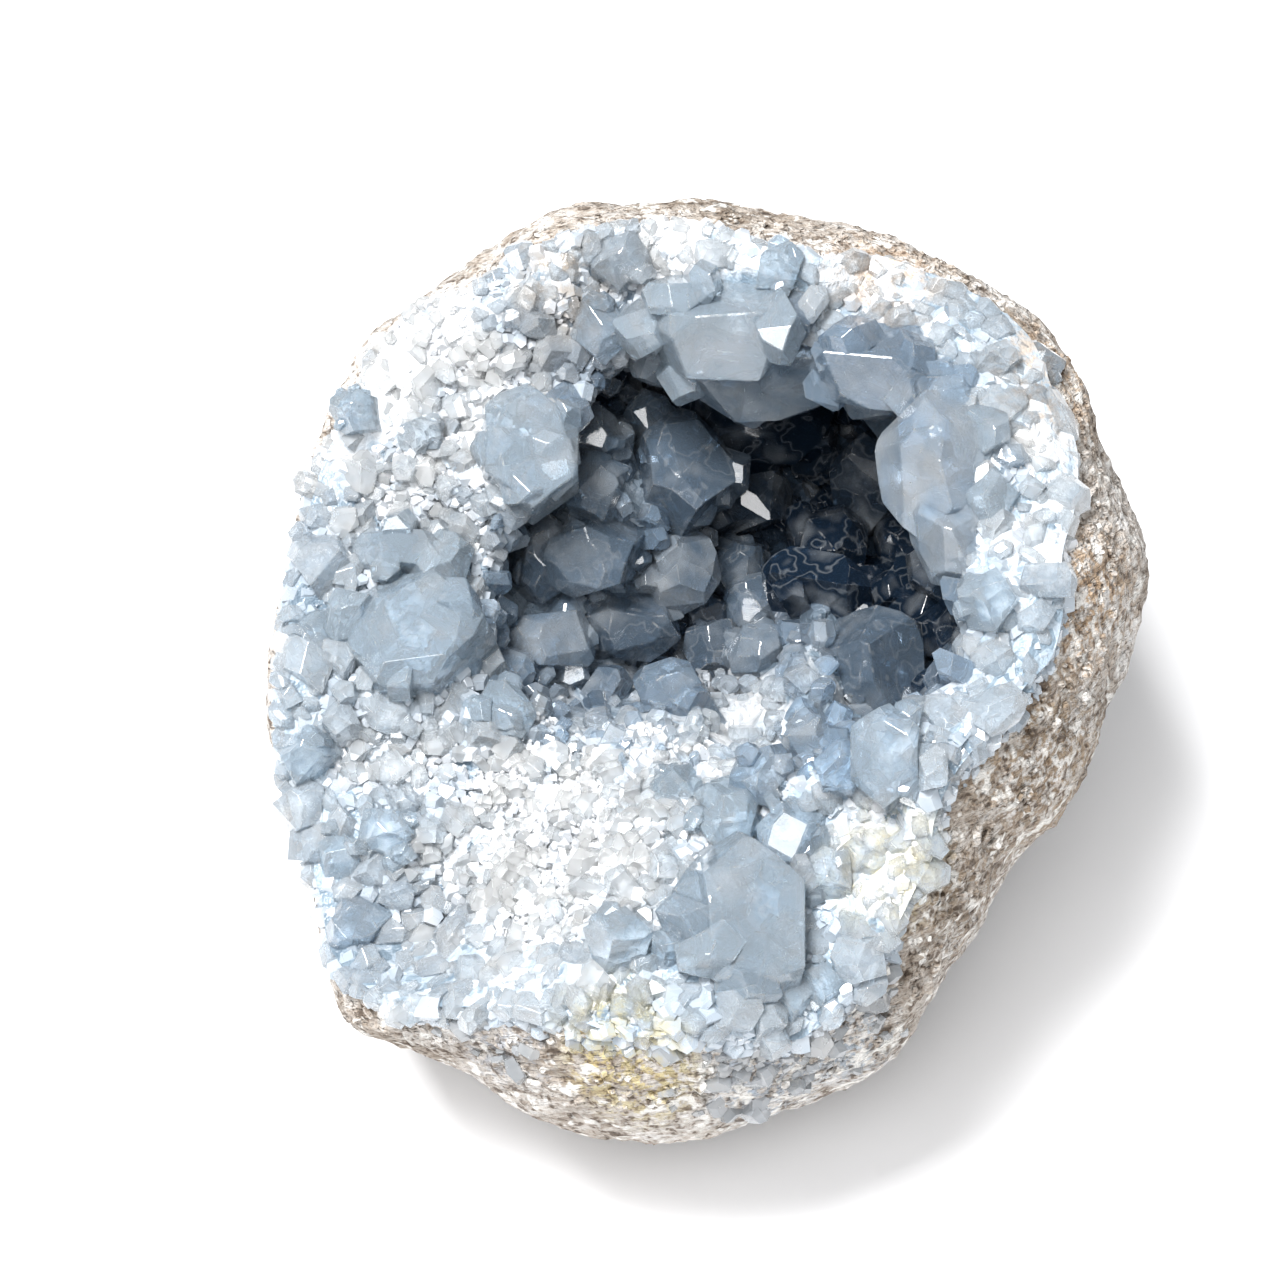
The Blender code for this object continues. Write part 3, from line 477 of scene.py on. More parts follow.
class Form:
    """The form's coarse grid: its points, their outward normals, and the masses on the wall."""

    def __init__(self):
        self.angles = [math.tau * k / COLUMNS for k in range(COLUMNS)]
        self.edge_ring = HOLLOW_RINGS + WALL_RINGS + FACE_RINGS - 1
        self.rings = []
        self.growth = []
        for part, place in ring_places():
            points = [form_point(part, place, angle) for angle in self.angles]
            self.rings.append([seen_at(*point) for point in points])
            self.growth.append([self.grown(point, part) for point in points])
        pole = Vector(HOLLOW_POLE)
        self.ends = [seen_at(*pole), seen_at(0, 0, -BACK_DOME)]
        self.pole_growth = self.grown(pole, "wall")
        self.normals = self.ring_normals()
        self.roughen()

    @staticmethod
    def grown(point, part):
        """How the crystal masses move a point of the wall, as a step in world axes."""
        if part != "wall":
            return Vector()
        rise = patched(MASSES, point.x, point.y, MM)
        return seen_at(*raised(point, rise)) - seen_at(*point)

    def ring_normals(self):
        """The outward normal at each point, from its neighbours on the grid."""
        normals = []
        last = len(self.rings) - 1
        for row, ring in enumerate(self.rings):
            if row < HOLLOW_RINGS:
                normals.append([self.bowl_normal(point, row) for point in ring])
                continue
            inner = self.rings[row - 1]
            outer = self.rings[row + 1] if row < last else [self.ends[1]] * COLUMNS
            line = []
            for k in range(COLUMNS):
                across = outer[k] - inner[k]
                along = ring[(k + 1) % COLUMNS] - ring[k - 1]
                line.append(across.cross(along).normalized())
            normals.append(line)
        for _ in range(NORMAL_PASSES):
            normals = [self.eased(normals, row) for row in range(len(normals))]
        return normals

    def bowl_normal(self, point, row):
        """The wall's direction into the hollow: to the viewer at its pole, and more and more
        towards its axis further out."""
        sideways = self.ends[0] - point
        sideways -= W_AXIS * sideways.dot(W_AXIS)
        return (sideways.normalized() * ((row + 1) / HOLLOW_RINGS) + W_AXIS * BOWL_RISE).normalized()

    def eased(self, normals, row):
        """A ring's normals, each averaged with its neighbours'."""
        inner = normals[max(row - 1, 0)]
        outer = normals[min(row + 1, len(normals) - 1)]
        line = normals[row]
        return [
            (line[k] * 2 + line[k - 1] + line[(k + 1) % COLUMNS] + inner[k] + outer[k]).normalized()
            for k in range(COLUMNS)
        ]

    def roughen(self):
        """Adds the bed's relief inside the crust's edge and the stone's relief outside it."""
        for row, ring in enumerate(self.rings):
            share = min(1.0, abs(row - self.edge_ring) / 2, row / HOLLOW_RINGS)
            relief = bed_relief if row < self.edge_ring else stone_relief
            for k, point in enumerate(ring):
                ring[k] = point + self.normals[row][k] * relief(point) * share

    def bed_depth(self, row, angle):
        """The thickness of the crystal bed at a ring: none outside the crust's edge."""
        if row > self.edge_ring:
            return 0.0
        deep = varied(BED_DEPTH, angle)
        taper = min(1.0, (self.edge_ring - row) / 2)
        return EDGE_BED + (deep - EDGE_BED) * taper

    def stone(self):
        """The stone's points: the form less the crystal bed."""
        rings = [
            [point - self.normals[row][k] * self.bed_depth(row, self.angles[k])
             for k, point in enumerate(ring)] for row, ring in enumerate(self.rings)
        ]
        return rings, [self.ends[0] - W_AXIS * self.bed_depth(0, 0.0), self.ends[1]]

    def bed(self):
        """The points of the crystal bed's top, which runs on inside the stone past its edge."""
        rings = []
        for row, ring in enumerate(self.rings):
            tuck = CRUST_TUCK if row > self.edge_ring else 0.0
            rings.append([point + self.growth[row][k] - self.normals[row][k] * tuck
                          for k, point in enumerate(ring)])
        return rings, [self.ends[0] + self.pole_growth, self.ends[1] + W_AXIS * CRUST_TUCK]


# The fine surfaces through the coarse grid


def as_array(rings, ends):
    """A coarse grid as an array, with a ring for each end and one beyond it."""
    body = np.array([[tuple(point) for point in ring] for ring in rings])
    first, last = (np.repeat(np.array([[tuple(end)]]), COLUMNS, axis=1) for end in ends)
    before = np.roll(body[:1], COLUMNS // 2, axis=1)
    after = np.roll(body[-1:], COLUMNS // 2, axis=1)
    return np.concatenate([before, first, body, last, after])


def refined(grid, rows, columns=FINE_COLUMNS):
    """The fine grid's points at places counted in coarse rings, where -1 is the hollow's pole."""
    at = np.arange(columns) * COLUMNS / columns
    base = np.floor(at).astype(int)
    t = (at - base)[None, :, None]
    wide = blended(*(grid[:, (base + k) % COLUMNS] for k in (-1, 0, 1, 2)), t)
    at = np.array(rows) + 2
    base = np.clip(np.floor(at).astype(int), 1, len(grid) - 3)
    t = (at - base)[:, None, None]
    return blended(*(wide[base + k] for k in (-1, 0, 1, 2)), t)


def grid_normals(points):
    """The outward normals of a fine grid."""
    across = np.gradient(points, axis=0)
    along = np.roll(points, -1, axis=1) - np.roll(points, 1, axis=1)
    normals = np.cross(across, along)
    return normals / np.maximum(np.linalg.norm(normals, axis=2, keepdims=True), 1e-12)


def steps_between(first, last, steps):
    """Places from one coarse ring to another, with so many steps between two rings."""
    count = round((last - first) * steps)
    return [first + (last - first) * k / count for k in range(count + 1)]


def grid_faces(rows, columns):
    """The quads of a grid that is closed around its columns."""
    k = np.arange(columns)
    following = (k + 1) % columns
    quads = []
    for row in range(rows - 1):
        inner = row * columns
        outer = inner + columns
        quads.append(np.stack([inner + k, inner + following, outer + following, outer + k], axis=1))
    return [tuple(quad) for quad in np.concatenate(quads)]


def end_caps(count, columns):
    """The faces that close a grid of so many points at its first and last ring."""
    return [tuple(range(columns))[::-1], tuple(range(count - columns, count))]


def seen_place(point):
    """Where a point shows in the view frame: its u and v on the middle plane, and its w."""
    point = Vector(point)
    w = point.dot(W_AXIS)
    scale = 1 - w / EYE_DISTANCE
    u = EYE_U + (point.dot(U_AXIS) - EYE_U) / scale
    v = EYE_V + (point.dot(V_AXIS) - EYE_V) / scale
    return u, v, w


def unit_share(value):
    """A value held between 0 and 1."""
    return min(1.0, max(0.0, value))


def whiteness(point):
    """How white and sugary the crust is at a point, from 0 to 1."""
    u, v, _ = seen_place(point)
    wander = WHITE_WANDER * noise.noise(Vector(point) / WANDER_SIZE)
    return unit_share(patched(WHITE_PATCHES, u, v) + wander)


def depth_shade_share(point):
    """How far a point is from the hollow's depth, 0, to the level of the face, 1; it sets the darkening deep
    in the hollow, partly deeper blue and partly painted shade.
    """
    u, v, w = seen_place(point)
    share = (w - DARKEST_SHADE_LEVEL) / (PALE_UNSHADED_LEVEL - DARKEST_SHADE_LEVEL) - patched(GREY_AND_SHADE_PATCHES, u, v)
    return unit_share(share)


def mesh_object(name, points, faces, finish, smooth=False, tints=None, wear=None):
    """An object of points and faces with a material, a tint for each point and each face's wear."""
    data = bpy.data.meshes.new(name)
    data.from_pydata([tuple(p) for p in points], [], [tuple(f) for f in faces])
    if wear is not None:
        layer = data.attributes.new("wear", "FLOAT", "FACE")
        layer.data.foreach_set("value", wear)
    data.validate()
    if smooth:
        data.shade_smooth()
    if tints is not None:
        layer = data.color_attributes.new("tint", "FLOAT_COLOR", "POINT")
        layer.data.foreach_set("color", np.asarray(tints, np.float32).ravel())
    thing = bpy.data.objects.new(name, data)
    thing.data.materials.append(finish)
    bpy.context.scene.collection.objects.link(thing)
    return thing


def frame_shift(form):
    """The step from the form's place to the frame's, found from the rind's box."""
    rings, _ = form.stone()
    low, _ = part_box("rind")
    low_x = min(point.x for ring in rings for point in ring)
    low_y = min(point.y for ring in rings for point in ring)
    return Vector((low.x - low_x, low.y - low_y, REST_DEPTH))


# Pieces

# The stone's fine relief: grit, thin layers that wander and show in places, and pock marks in places
STREAK_NORMAL = (U_AXIS * -0.22 + V_AXIS * 0.93 + W_AXIS * 0.28).normalized()
GRIT_SIZE = 2.2 * MM
GRIT_HEIGHT = 0.42 * MM
FINE_LAYER = 1.5 * MM
FINE_LAYER_HEIGHT = 0.30 * MM
LAYER_WANDER = 1.4
LAYER_WANDER_SIZE = 9 * MM
LAYER_PATCH = 14 * MM
POCK_SIZE = 3.4 * MM
POCK_DEPTH = 1.0 * MM
POCK_EDGE = 0.28
POCK_PATCH = 11 * MM
# The bed's facets: their size, how far they tilt and how far they step out
HOLLOW_FACETS = (3.2 * MM, 2.0 * MM, 0.9 * MM)
FACE_FACETS = (3.4 * MM, 2.3 * MM, 1.0 * MM)
SUGAR_FACETS = (1.25 * MM, 0.75 * MM, 0.35 * MM)
FACET_WANDER = 0.35
FACET_WANDER_SIZE = 2.0 * MM


def fine_stone_relief(point):
    """The stone's relief that is too fine for the coarse grid."""
    grit = GRIT_HEIGHT * noise.fractal(point / GRIT_SIZE, 0.7, 2.1, 3)
    wander = LAYER_WANDER * noise.noise(point / LAYER_WANDER_SIZE)
    layer = point.dot(STREAK_NORMAL) / FINE_LAYER + wander
    step = layer - math.floor(layer)
    patch = max(0.0, 0.5 + noise.noise(point / LAYER_PATCH + NOISE_SHIFT))
    striation = FINE_LAYER_HEIGHT * (step - 0.5) * patch
    near = noise.voronoi(point / POCK_SIZE)[0][0]
    marked = max(0.0, noise.noise(point / POCK_PATCH) + 0.1)
    pock = -POCK_DEPTH * max(0.0, POCK_EDGE - near) / POCK_EDGE * marked
    return grit + striation + pock


def make_stone(form, shift, finish):
    """The rind: fine outside, coarse where the crust hides it, and flat where it rests."""
    grid = as_array(*form.stone())
    edge = form.edge_ring
    rows = steps_between(STONE_SPAN[0], edge - 1, HIDDEN_STEPS)[:-1]
    rows += steps_between(edge - 1, len(form.rings) + STONE_SPAN[1], STONE_STEPS)
    points = refined(grid, rows)
    normals = grid_normals(points)
    for row, place in enumerate(rows):
        share = unit_share(place - edge + 0.5)
        if share == 0.0:
            continue
        for k in range(FINE_COLUMNS):
            relief = fine_stone_relief(Vector(points[row, k])) * share
            points[row, k] += normals[row, k] * relief
    points = points + np.array(shift)
    points[..., 2] = np.maximum(points[..., 2], 0.0)
    flat = points.reshape(-1, 3)
    faces = grid_faces(len(rows), FINE_COLUMNS) + end_caps(len(flat), FINE_COLUMNS)
    return mesh_object("rind_stone", flat, faces, finish, smooth=True)


def facets(point, size, tilt_height, step_height):
    """A druse's relief: cells of a size, each a facet that tilts at random."""
    _, cells = noise.voronoi(point / size)
    cell = cells[0]
    tilt = noise.cell_vector(cell * 7.3) - Vector((0.5, 0.5, 0.5))
    away = point / size - cell
    return tilt_height * away.dot(tilt) + step_height * (noise.cell(cell * 3.1) - 0.5)


def hollow_relief(point):
    """The relief of the bed deep in the hollow."""
    return facets(point, *HOLLOW_FACETS)


def face_relief(point):
    """The relief of the bed over the broken face: broken crystals with sugary grains on them."""
    place = point + noise.noise_vector(point / FACET_WANDER_SIZE) * FACET_WANDER * MM
    return facets(place, *FACE_FACETS) + facets(place, *SUGAR_FACETS)


def make_bed(form, shift, finish, name, rows, columns, relief):
    """A stretch of the crystal bed: its rough top, and a plain back inside the stone."""
    grid = as_array(*form.bed())
    places = steps_between(*rows)
    points = refined(grid, places, columns)
    normals = grid_normals(points)
    for row in range(len(places)):
        for k in range(columns):
            points[row, k] += normals[row, k] * relief(Vector(points[row, k]))
    hidden_places = steps_between(rows[0], rows[1], 1)[::-1]
    hidden = refined(as_array(*form.stone()), hidden_places, columns)
    hidden -= grid_normals(hidden) * BED_BACK
    whole = np.concatenate([points, hidden])
    if rows[0] > 0:
        whole = np.concatenate([whole, points[:1]])
    # The tint's third part is the share by depth that sets the bed's painted shade deep in the hollow
    tints = [(0.5, whiteness(point), depth_shade_share(point), 1.0) for point in whole.reshape(-1, 3)]
    flat = (whole + np.array(shift)).reshape(-1, 3)
    faces = grid_faces(len(whole), columns)
    if rows[0] < 0:
        faces += end_caps(len(flat), columns)
    return mesh_object(name, flat, faces, finish, tints=tints)


# Crystals

# How much less milky a main crystal is than its place
MILK_SPREAD = 0.15
MAIN_MILK = 0.05
MAIN_CLEARING = 0.85
MAIN_BEVEL = 0.012
MAIN_ROOM = 0.38

# A main crystal's chipped corners, and the lesser crystals grown into its flanks
CHIPPED_CORNERS = 7
CHIP_REACH = (0.86, 0.97)
CHIP_JITTER = 0.35
SATELLITES = (4, 7)
SATELLITE_SIZE = (0.22, 0.48)
SATELLITE_OUT = (0.22, 0.48)
SATELLITE_LEAN = 0.30
SATELLITE_RISE = (-0.05, 0.45)
SATELLITE_SHADE = 0.35


def crystal_planes(draw, width, height, flatness, tip=1.0):
    """The planes that bound a crystal, as normals and distances from its root: its sides, an end
    of slanting faces, a cut tip on a stout one, and a base."""
    normals = []
    distances = []
    half = width / 2
    stout = width > STOUT_WIDTH
    for turn, reach in (STOUT_SIDES if stout else SLIM_SIDES):
        reach = reach or flatness
        angle = math.radians(turn + draw.uniform(-TURN_SPREAD, TURN_SPREAD) / 3)
        lean = draw.uniform(*SIDE_LEAN)
        normals.append(Vector((math.cos(angle), math.sin(angle), lean)).normalized())
        distances.append(half * reach * draw.uniform(*SIDE_REACH))
    for turn in (STOUT_ENDS if stout else SLIM_ENDS):
        angle = math.radians(turn + draw.uniform(-TURN_SPREAD, TURN_SPREAD))
        slope = math.radians(draw.uniform(*END_SLOPE))
        side = math.cos(slope)
        normal = Vector((math.cos(angle) * side, math.sin(angle) * side, math.sin(slope)))
        normals.append(normal)
        corner = half * draw.uniform(*END_CORNER)
        distances.append(normal.z * height + side * corner)
    if stout:
        tilt = (draw.uniform(-TIP_TILT, TIP_TILT), draw.uniform(-TIP_TILT, TIP_TILT), 1)
        normals.append(Vector(tilt).normalized())
        distances.append(height * draw.uniform(*TIP_CUT) * tip)
    normals.append(Vector((0, 0, -1)))
    distances.append(SINK)
    return normals, distances


def corners_of(normals, distances):
    """The corners of the convex solid that the planes bound."""
    sides = np.array([tuple(normal) for normal in normals])
    reach = np.array(distances)
    count = len(reach)
    trios = np.array([(a, b, c) for a in range(count) for b in range(a) for c in range(b)])
    matrices = sides[trios]
    usable = np.abs(np.linalg.det(matrices)) > 1e-4
    points = np.linalg.solve(matrices[usable], reach[trios[usable]][..., None])[..., 0]
    inside = np.all(points @ sides.T <= reach + 1e-7, axis=1)
    return points[inside]


def chipped(draw, normals, distances, count):
    """A crystal's planes with more that cut some of its corners."""
    corners = corners_of(normals, distances)
    high = corners[corners[:, 2] > 0]
    normals = list(normals)
    distances = list(distances)
    for _ in range(min(count, len(high))):
        corner = Vector(high[draw.randrange(len(high))])
        jitter = Vector((draw.uniform(-1, 1), draw.uniform(-1, 1), draw.uniform(-0.5, 1))) * CHIP_JITTER
        normal = (corner.normalized() + jitter).normalized()
        reach = max(normal.dot(Vector(point)) for point in high)
        normals.append(normal)
        distances.append(reach * draw.uniform(*CHIP_REACH))
    return normals, distances


def crystal_shape(normals, distances, bevel):
    """A convex crystal's points and faces, with its edges slightly bevelled."""
    mesh = bmesh.new()
    for corner in corners_of(normals, distances):
        mesh.verts.new(corner)
    bmesh.ops.remove_doubles(mesh, verts=mesh.verts, dist=CORNER_MERGE)
    hull = bmesh.ops.convex_hull(mesh, input=mesh.verts)
    spare = [item for item in hull["geom_interior"] if isinstance(item, bmesh.types.BMVert)]
    bmesh.ops.delete(mesh, geom=spare, context="VERTS")
    bmesh.ops.dissolve_limit(mesh, angle_limit=math.radians(1.5), verts=mesh.verts, edges=mesh.edges)
    bmesh.ops.recalc_face_normals(mesh, faces=mesh.faces)
    worn = set()
    if bevel:
        made = bmesh.ops.bevel(mesh, geom=mesh.edges[:], offset=bevel, segments=1, profile=0.5,
                               affect="EDGES", clamp_overlap=True)
        worn = set(made["faces"])
    mesh.verts.index_update()
    points = np.array([tuple(v.co) for v in mesh.verts])
    faces = [[v.index for v in face.verts] for face in mesh.faces]
    wear = [1.0 if face in worn else 0.0 for face in mesh.faces]
    mesh.free()
    return points, faces, wear


def spin_for(axis, turn, draw):
    """The spin that lays a crystal's wide way at a turn of the view frame; any spin for None."""
    if turn is None:
        return draw.uniform(0, math.tau)
    wide = to_world(math.cos(math.radians(turn)), math.sin(math.radians(turn)), 0)
    local = axis.normalized().to_track_quat("Z", "Y").to_matrix().transposed() @ wide
    return math.atan2(local.y, local.x) - math.pi / 2


def standing(root, axis, spin):
    """The placement of a crystal at a root, with its length along an axis and turned by spin."""
    turn = axis.normalized().to_track_quat("Z", "Y").to_matrix().to_4x4()
    return Matrix.Translation(root) @ turn @ Matrix.Rotation(spin, 4, "Z")


class Heap:
    """Many small solids that make one piece."""

    def __init__(self):
        self.points = []
        self.faces = []
        self.tints = []
        self.wear = []
        self.count = 0

    def add(self, shape, place, tint, size=1.0):
        """Adds a solid at a place."""
        points, faces, wear = shape
        matrix = np.array(place)
        moved = (points * size) @ matrix[:3, :3].T + matrix[:3, 3]
        self.points.append(moved)
        self.faces += [[self.count + k for k in face] for face in faces]
        self.tints += [tint] * len(points)
        self.wear += wear
        self.count += len(points)

    def made(self, name, finish, shift):
        """The piece."""
        points = np.concatenate(self.points) + np.array(shift)
        return mesh_object(name, points, self.faces, finish, tints=self.tints, wear=self.wear)


def coarse_bed_tree(form):
    """The frame's own coarse bed, for finding where a sight line meets it."""
    rings, ends = form.bed()
    points = [point for ring in rings for point in ring] + ends
    first = len(points) - 2
    last = len(points) - 1
    faces = []
    for k in range(COLUMNS):
        following = (k + 1) % COLUMNS
        top = (len(rings) - 1) * COLUMNS
        faces.append((first, k, following))
        faces.append((last, top + following, top + k))
        for row in range(len(rings) - 1):
            inner = row * COLUMNS
            outer = inner + COLUMNS
            faces.append((inner + k, outer + k, outer + following))
            faces.append((inner + k, outer + following, inner + following))
    return BVHTree.FromPolygons(points, faces)


def tint_of(draw, milk, root):
    """A crystal's own tint: its lightness, its milkiness, and how near the face it is, which sets its painted
    shade deep in the hollow.
    """
    milk = unit_share(draw.gauss(milk + whiteness(root), MILK_SPREAD))
    return (draw.uniform(0, 1), milk, depth_shade_share(root), 1.0)


def grow_satellites(draw, heap, shapes, place, width, height, tint):
    """Lesser crystals grown into the flanks of a main one, nearly side by side with it."""
    for _ in range(draw.randint(*SATELLITES)):
        turn = draw.uniform(0, math.tau)
        out = width * draw.uniform(*SATELLITE_OUT)
        size = width * draw.uniform(*SATELLITE_SIZE)
        rise = height * draw.uniform(*SATELLITE_RISE)
        steepness = 1 / (SATELLITE_LEAN * draw.uniform(0.5, 2.0))
        lean = Vector((math.cos(turn), math.sin(turn), steepness))
        local = standing(Vector((math.cos(turn) * out, math.sin(turn) * out, rise)), lean, turn)
        shade = (unit_share(tint[0] + draw.uniform(-SATELLITE_SHADE, SATELLITE_SHADE)), *tint[1:])
        heap.add(draw.choice(shapes), place @ local, shade, size)


def grow_main(draw, tone, heap, shapes, spot, axis, row, milk):
    """A main crystal with its satellites, from a row that starts with its width and height."""
    width, height, _, flatness, *last = row
    turn, tip = last or (None, 1.0)
    planes = crystal_planes(draw, width * MM, height * MM, flatness, tip)
    place = standing(spot, axis, spin_for(axis, turn, draw))
    tint = tint_of(tone, milk, spot)
    if flatness < 1:
        planes = chipped(tone, *planes, CHIPPED_CORNERS)
        grow_satellites(tone, heap, shapes, place, width * MM, height * tip * MM, tint)
    heap.add(crystal_shape(*planes, MAIN_BEVEL * width * MM), place, tint)
    return spot, width * MM


def named_crystals(form, clear, pale, shapes):
    """The main crystals, in the heap for their place, and their roots and widths."""
    draw = random.Random(SEED)
    tone = random.Random(SEED + 5)
    tree = coarse_bed_tree(form)
    eye = to_world(EYE_U, EYE_V, EYE_DISTANCE)
    roots = []
    for u, v, *row in CRYSTALS:
        through = to_world(u * MM, v * MM, 0)
        spot, normal, _, _ = tree.ray_cast(eye, (through - eye).normalized())
        if spot is None:
            continue
        axis = to_world(*row[2]).normalized() * AIM_SHARE + normal * WALL_SHARE
        inside = math.hypot(u, v) * MM < around(LIP, math.atan2(v, u)) * LIP_MARGIN
        milk = MAIN_MILK - MAIN_CLEARING * whiteness(spot)
        roots.append(grow_main(draw, tone, clear if inside else pale, shapes, spot, axis, row, milk))
    return roots


def overhanging_crystals(form, heap, shapes):
    """Crystals that hang over the hollow from under its lip, and their roots and widths."""
    draw = random.Random(SEED + 7)
    grid = as_array(*form.bed())
    roots = []
    for degrees, ring, *row in OVERHANGS:
        column = round(degrees / 360 * FINE_COLUMNS)
        spot = Vector(refined(grid, [ring])[0, column])
        roots.append(grow_main(draw, draw, heap, shapes, spot, to_world(*row[2]), row, MAIN_MILK))
    return roots


class Scatter:
    """Places on the bed's surface that keep apart from each other."""

    def __init__(self, grid, seed):
        self.draw = random.Random(seed)
        self.grid = grid
        self.cells = {}

    def take(self, point, reach):
        """Marks a place as taken."""
        key = tuple(int(c // CELL) for c in point)
        self.cells.setdefault(key, []).append((point, reach))

    def is_free(self, point, reach):
        """Whether a place lies far enough from all those taken."""
        home = [int(c // CELL) for c in point]
        for step in itertools.product((-1, 0, 1), repeat=3):
            beside = tuple(a + b for a, b in zip(home, step))
            for other, span in self.cells.get(beside, ()):
                if (point - other).length < reach + span:
                    return False
        return True

    def places(self, rows, count, widths, room):
        """Yields roots, normals and widths over the surface between two coarse rings."""
        points = refined(self.grid, steps_between(*rows, SCATTER_STEPS))
        normals = grid_normals(points)
        sides = np.linalg.norm(np.cross(
            np.diff(points, axis=0), (np.roll(points, -1, axis=1) - points)[:-1]), axis=2)
        shares = np.cumsum(sides.ravel())
        for _ in range(count):
            at = int(np.searchsorted(shares, self.draw.uniform(0, shares[-1])))
            row, column = divmod(min(at, len(shares) - 1), FINE_COLUMNS)
            s = self.draw.random()
            t = self.draw.random()
            beside = (column + 1) % FINE_COLUMNS
            point = Vector(points[row, column] * (1 - s) * (1 - t) + points[row + 1, column] * s * (1 - t)
                           + points[row, beside] * (1 - s) * t + points[row + 1, beside] * s * t)
            low, high = (width * MM for width in widths)
            size = low + (high - low) * self.draw.random() ** 2
            size *= 1 - SUGAR_SHRINK * whiteness(point)
            if self.is_free(point, size * room):
                self.take(point, size * room)
                yield point, Vector(normals[row, column]), size

    def fill(self, heap, shapes, rows, count, widths, room, lean, heights, milk, patches):
        """Fills a heap with crystals over the surface, or in some patches only."""
        draw = self.draw
        for root, normal, size in self.places(rows, count, widths, room):
            if patches and patched(patches, *seen_place(root)[:2]) < draw.random():
                continue
            wobble = Vector((draw.gauss(0, 1), draw.gauss(0, 1), draw.gauss(0, 1))) * lean
            place = standing(root, normal + wobble, draw.uniform(0, math.tau))
            wide = (draw.uniform(*SCATTER_SIDES), draw.uniform(*SCATTER_SIDES))
            stretch = Matrix.Diagonal((*wide, draw.uniform(*heights), 1))
            heap.add(draw.choice(shapes), place @ stretch, tint_of(draw, milk, root), size)


def unit_shapes(seed, bevel, stout):
    """Crystals of unit width, to be set at any size."""
    draw = random.Random(seed)
    shapes = []
    for _ in range(SHAPES_EACH):
        width = (STOUT_WIDTH * 1.1) if stout else (STOUT_WIDTH * 0.9)
        height = width * draw.uniform(0.55, 0.8)
        normals, distances = crystal_planes(draw, width, height, draw.uniform(0.5, 1))
        distances[-1] = width * UNIT_SINK
        if bevel:
            normals, distances = chipped(draw, normals, distances, 3)
        points, faces, wear = crystal_shape(normals, distances, bevel * width)
        shapes.append((points / width, faces, wear))
    return shapes


# Materials


class Nodes:
    """Short ways to add nodes to a material."""

    def __init__(self, name):
        self.material = bpy.data.materials.new(name)
        self.material.use_nodes = True
        self.tree = self.material.node_tree
        self.shader = self.tree.nodes["Principled BSDF"]
        self.place = self.add("ShaderNodeNewGeometry").outputs["Position"]

    def add(self, kind, **values):
        """A node with some of its inputs set or linked."""
        node = self.tree.nodes.new(kind)
        for key, value in values.items():
            self.feed(node.inputs[key.replace("_", " ")], value)
        return node

    def operate(self, kind, operation, *values):
        """A node that does an operation on its first inputs."""
        node = self.tree.nodes.new(kind)
        node.operation = operation
        for socket, value in zip(node.inputs, values):
            self.feed(socket, value)
        return node

    def feed(self, socket, value):
        """Sets a socket to a value, or links it to an output."""
        if isinstance(value, bpy.types.NodeSocket):
            self.tree.links.new(value, socket)
        else:
            socket.default_value = value

    def noise(self, size, detail=4.0, roughness=0.55, where=None):
        """A noise of a size in metres."""
        node = self.add("ShaderNodeTexNoise", Vector=where or self.place, Scale=1 / size, Detail=detail,
                        Roughness=roughness)
        return node.outputs["Fac"]

    def cells(self, size):
        """A colour for each cell of a size in metres."""
        node = self.add("ShaderNodeTexVoronoi", Vector=self.place, Scale=1 / size)
        return node.outputs["Color"]

    def ramp(self, value, *stops):
        """Colours along a value: pairs of a position and a colour or a grey."""
        node = self.add("ShaderNodeValToRGB", Fac=value)
        ends = node.color_ramp.elements
        while len(ends) < len(stops):
            ends.new(0.5)
        for end, (position, colour) in zip(ends, stops):
            end.position = position
            grey = isinstance(colour, (int, float))
            end.color = (colour, colour, colour, 1) if grey else (*colour, 1)
        return node.outputs["Color"]

    def mix(self, share, first, second, blend="MIX"):
        """Two colours mixed."""
        node = self.tree.nodes.new("ShaderNodeMix")
        node.data_type = "RGBA"
        node.blend_type = blend
        for socket, value in ((node.inputs[0], share), (node.inputs[6], first), (node.inputs[7], second)):
            if isinstance(value, tuple):
                value = (*value, 1)
            self.feed(socket, value)
        return node.outputs[2]

    def math(self, operation, first, second=0.0):
        """A sum, product or other operation."""
        return self.operate("ShaderNodeMath", operation, first, second).outputs[0]

    def bump(self, height, depth, strength=1.0, under=None):
        """A bump's normals, over another bump's if given."""
        node = self.add("ShaderNodeBump", Height=height, Distance=depth, Strength=strength)
        if under:
            self.feed(node.inputs["Normal"], under)
        return node.outputs["Normal"]

    def part(self, value, axis):
        """One part of a vector or colour."""
        return self.add("ShaderNodeSeparateXYZ", Vector=value).outputs[axis]

    def attribute(self, name, output="Fac"):
        """A number or a vector that the mesh carries."""
        node = self.tree.nodes.new("ShaderNodeAttribute")
        node.attribute_name = name
        return node.outputs[output]

    def tint(self, axis):
        """One part of the tint that each crystal carries."""
        return self.part(self.attribute("tint", "Vector"), axis)

    def along(self, direction):
        """The distance along a direction."""
        return self.operate("ShaderNodeVectorMath", "DOT_PRODUCT", self.place, direction).outputs["Value"]

    def squeezed(self, direction, times):
        """The position with its distances along a direction made so many times larger, which lays
        a noise out in layers."""
        further = self.operate("ShaderNodeVectorMath", "SCALE", direction)
        self.feed(further.inputs["Scale"], self.math("MULTIPLY", self.along(direction), times - 1))
        return self.operate("ShaderNodeVectorMath", "ADD", further.outputs[0], self.place).outputs[0]

    def finish(self, **values):
        """Feeds the shader's inputs and returns the material."""
        for key, value in values.items():
            self.feed(self.shader.inputs[key.replace("_", " ")], value)
        return self.material


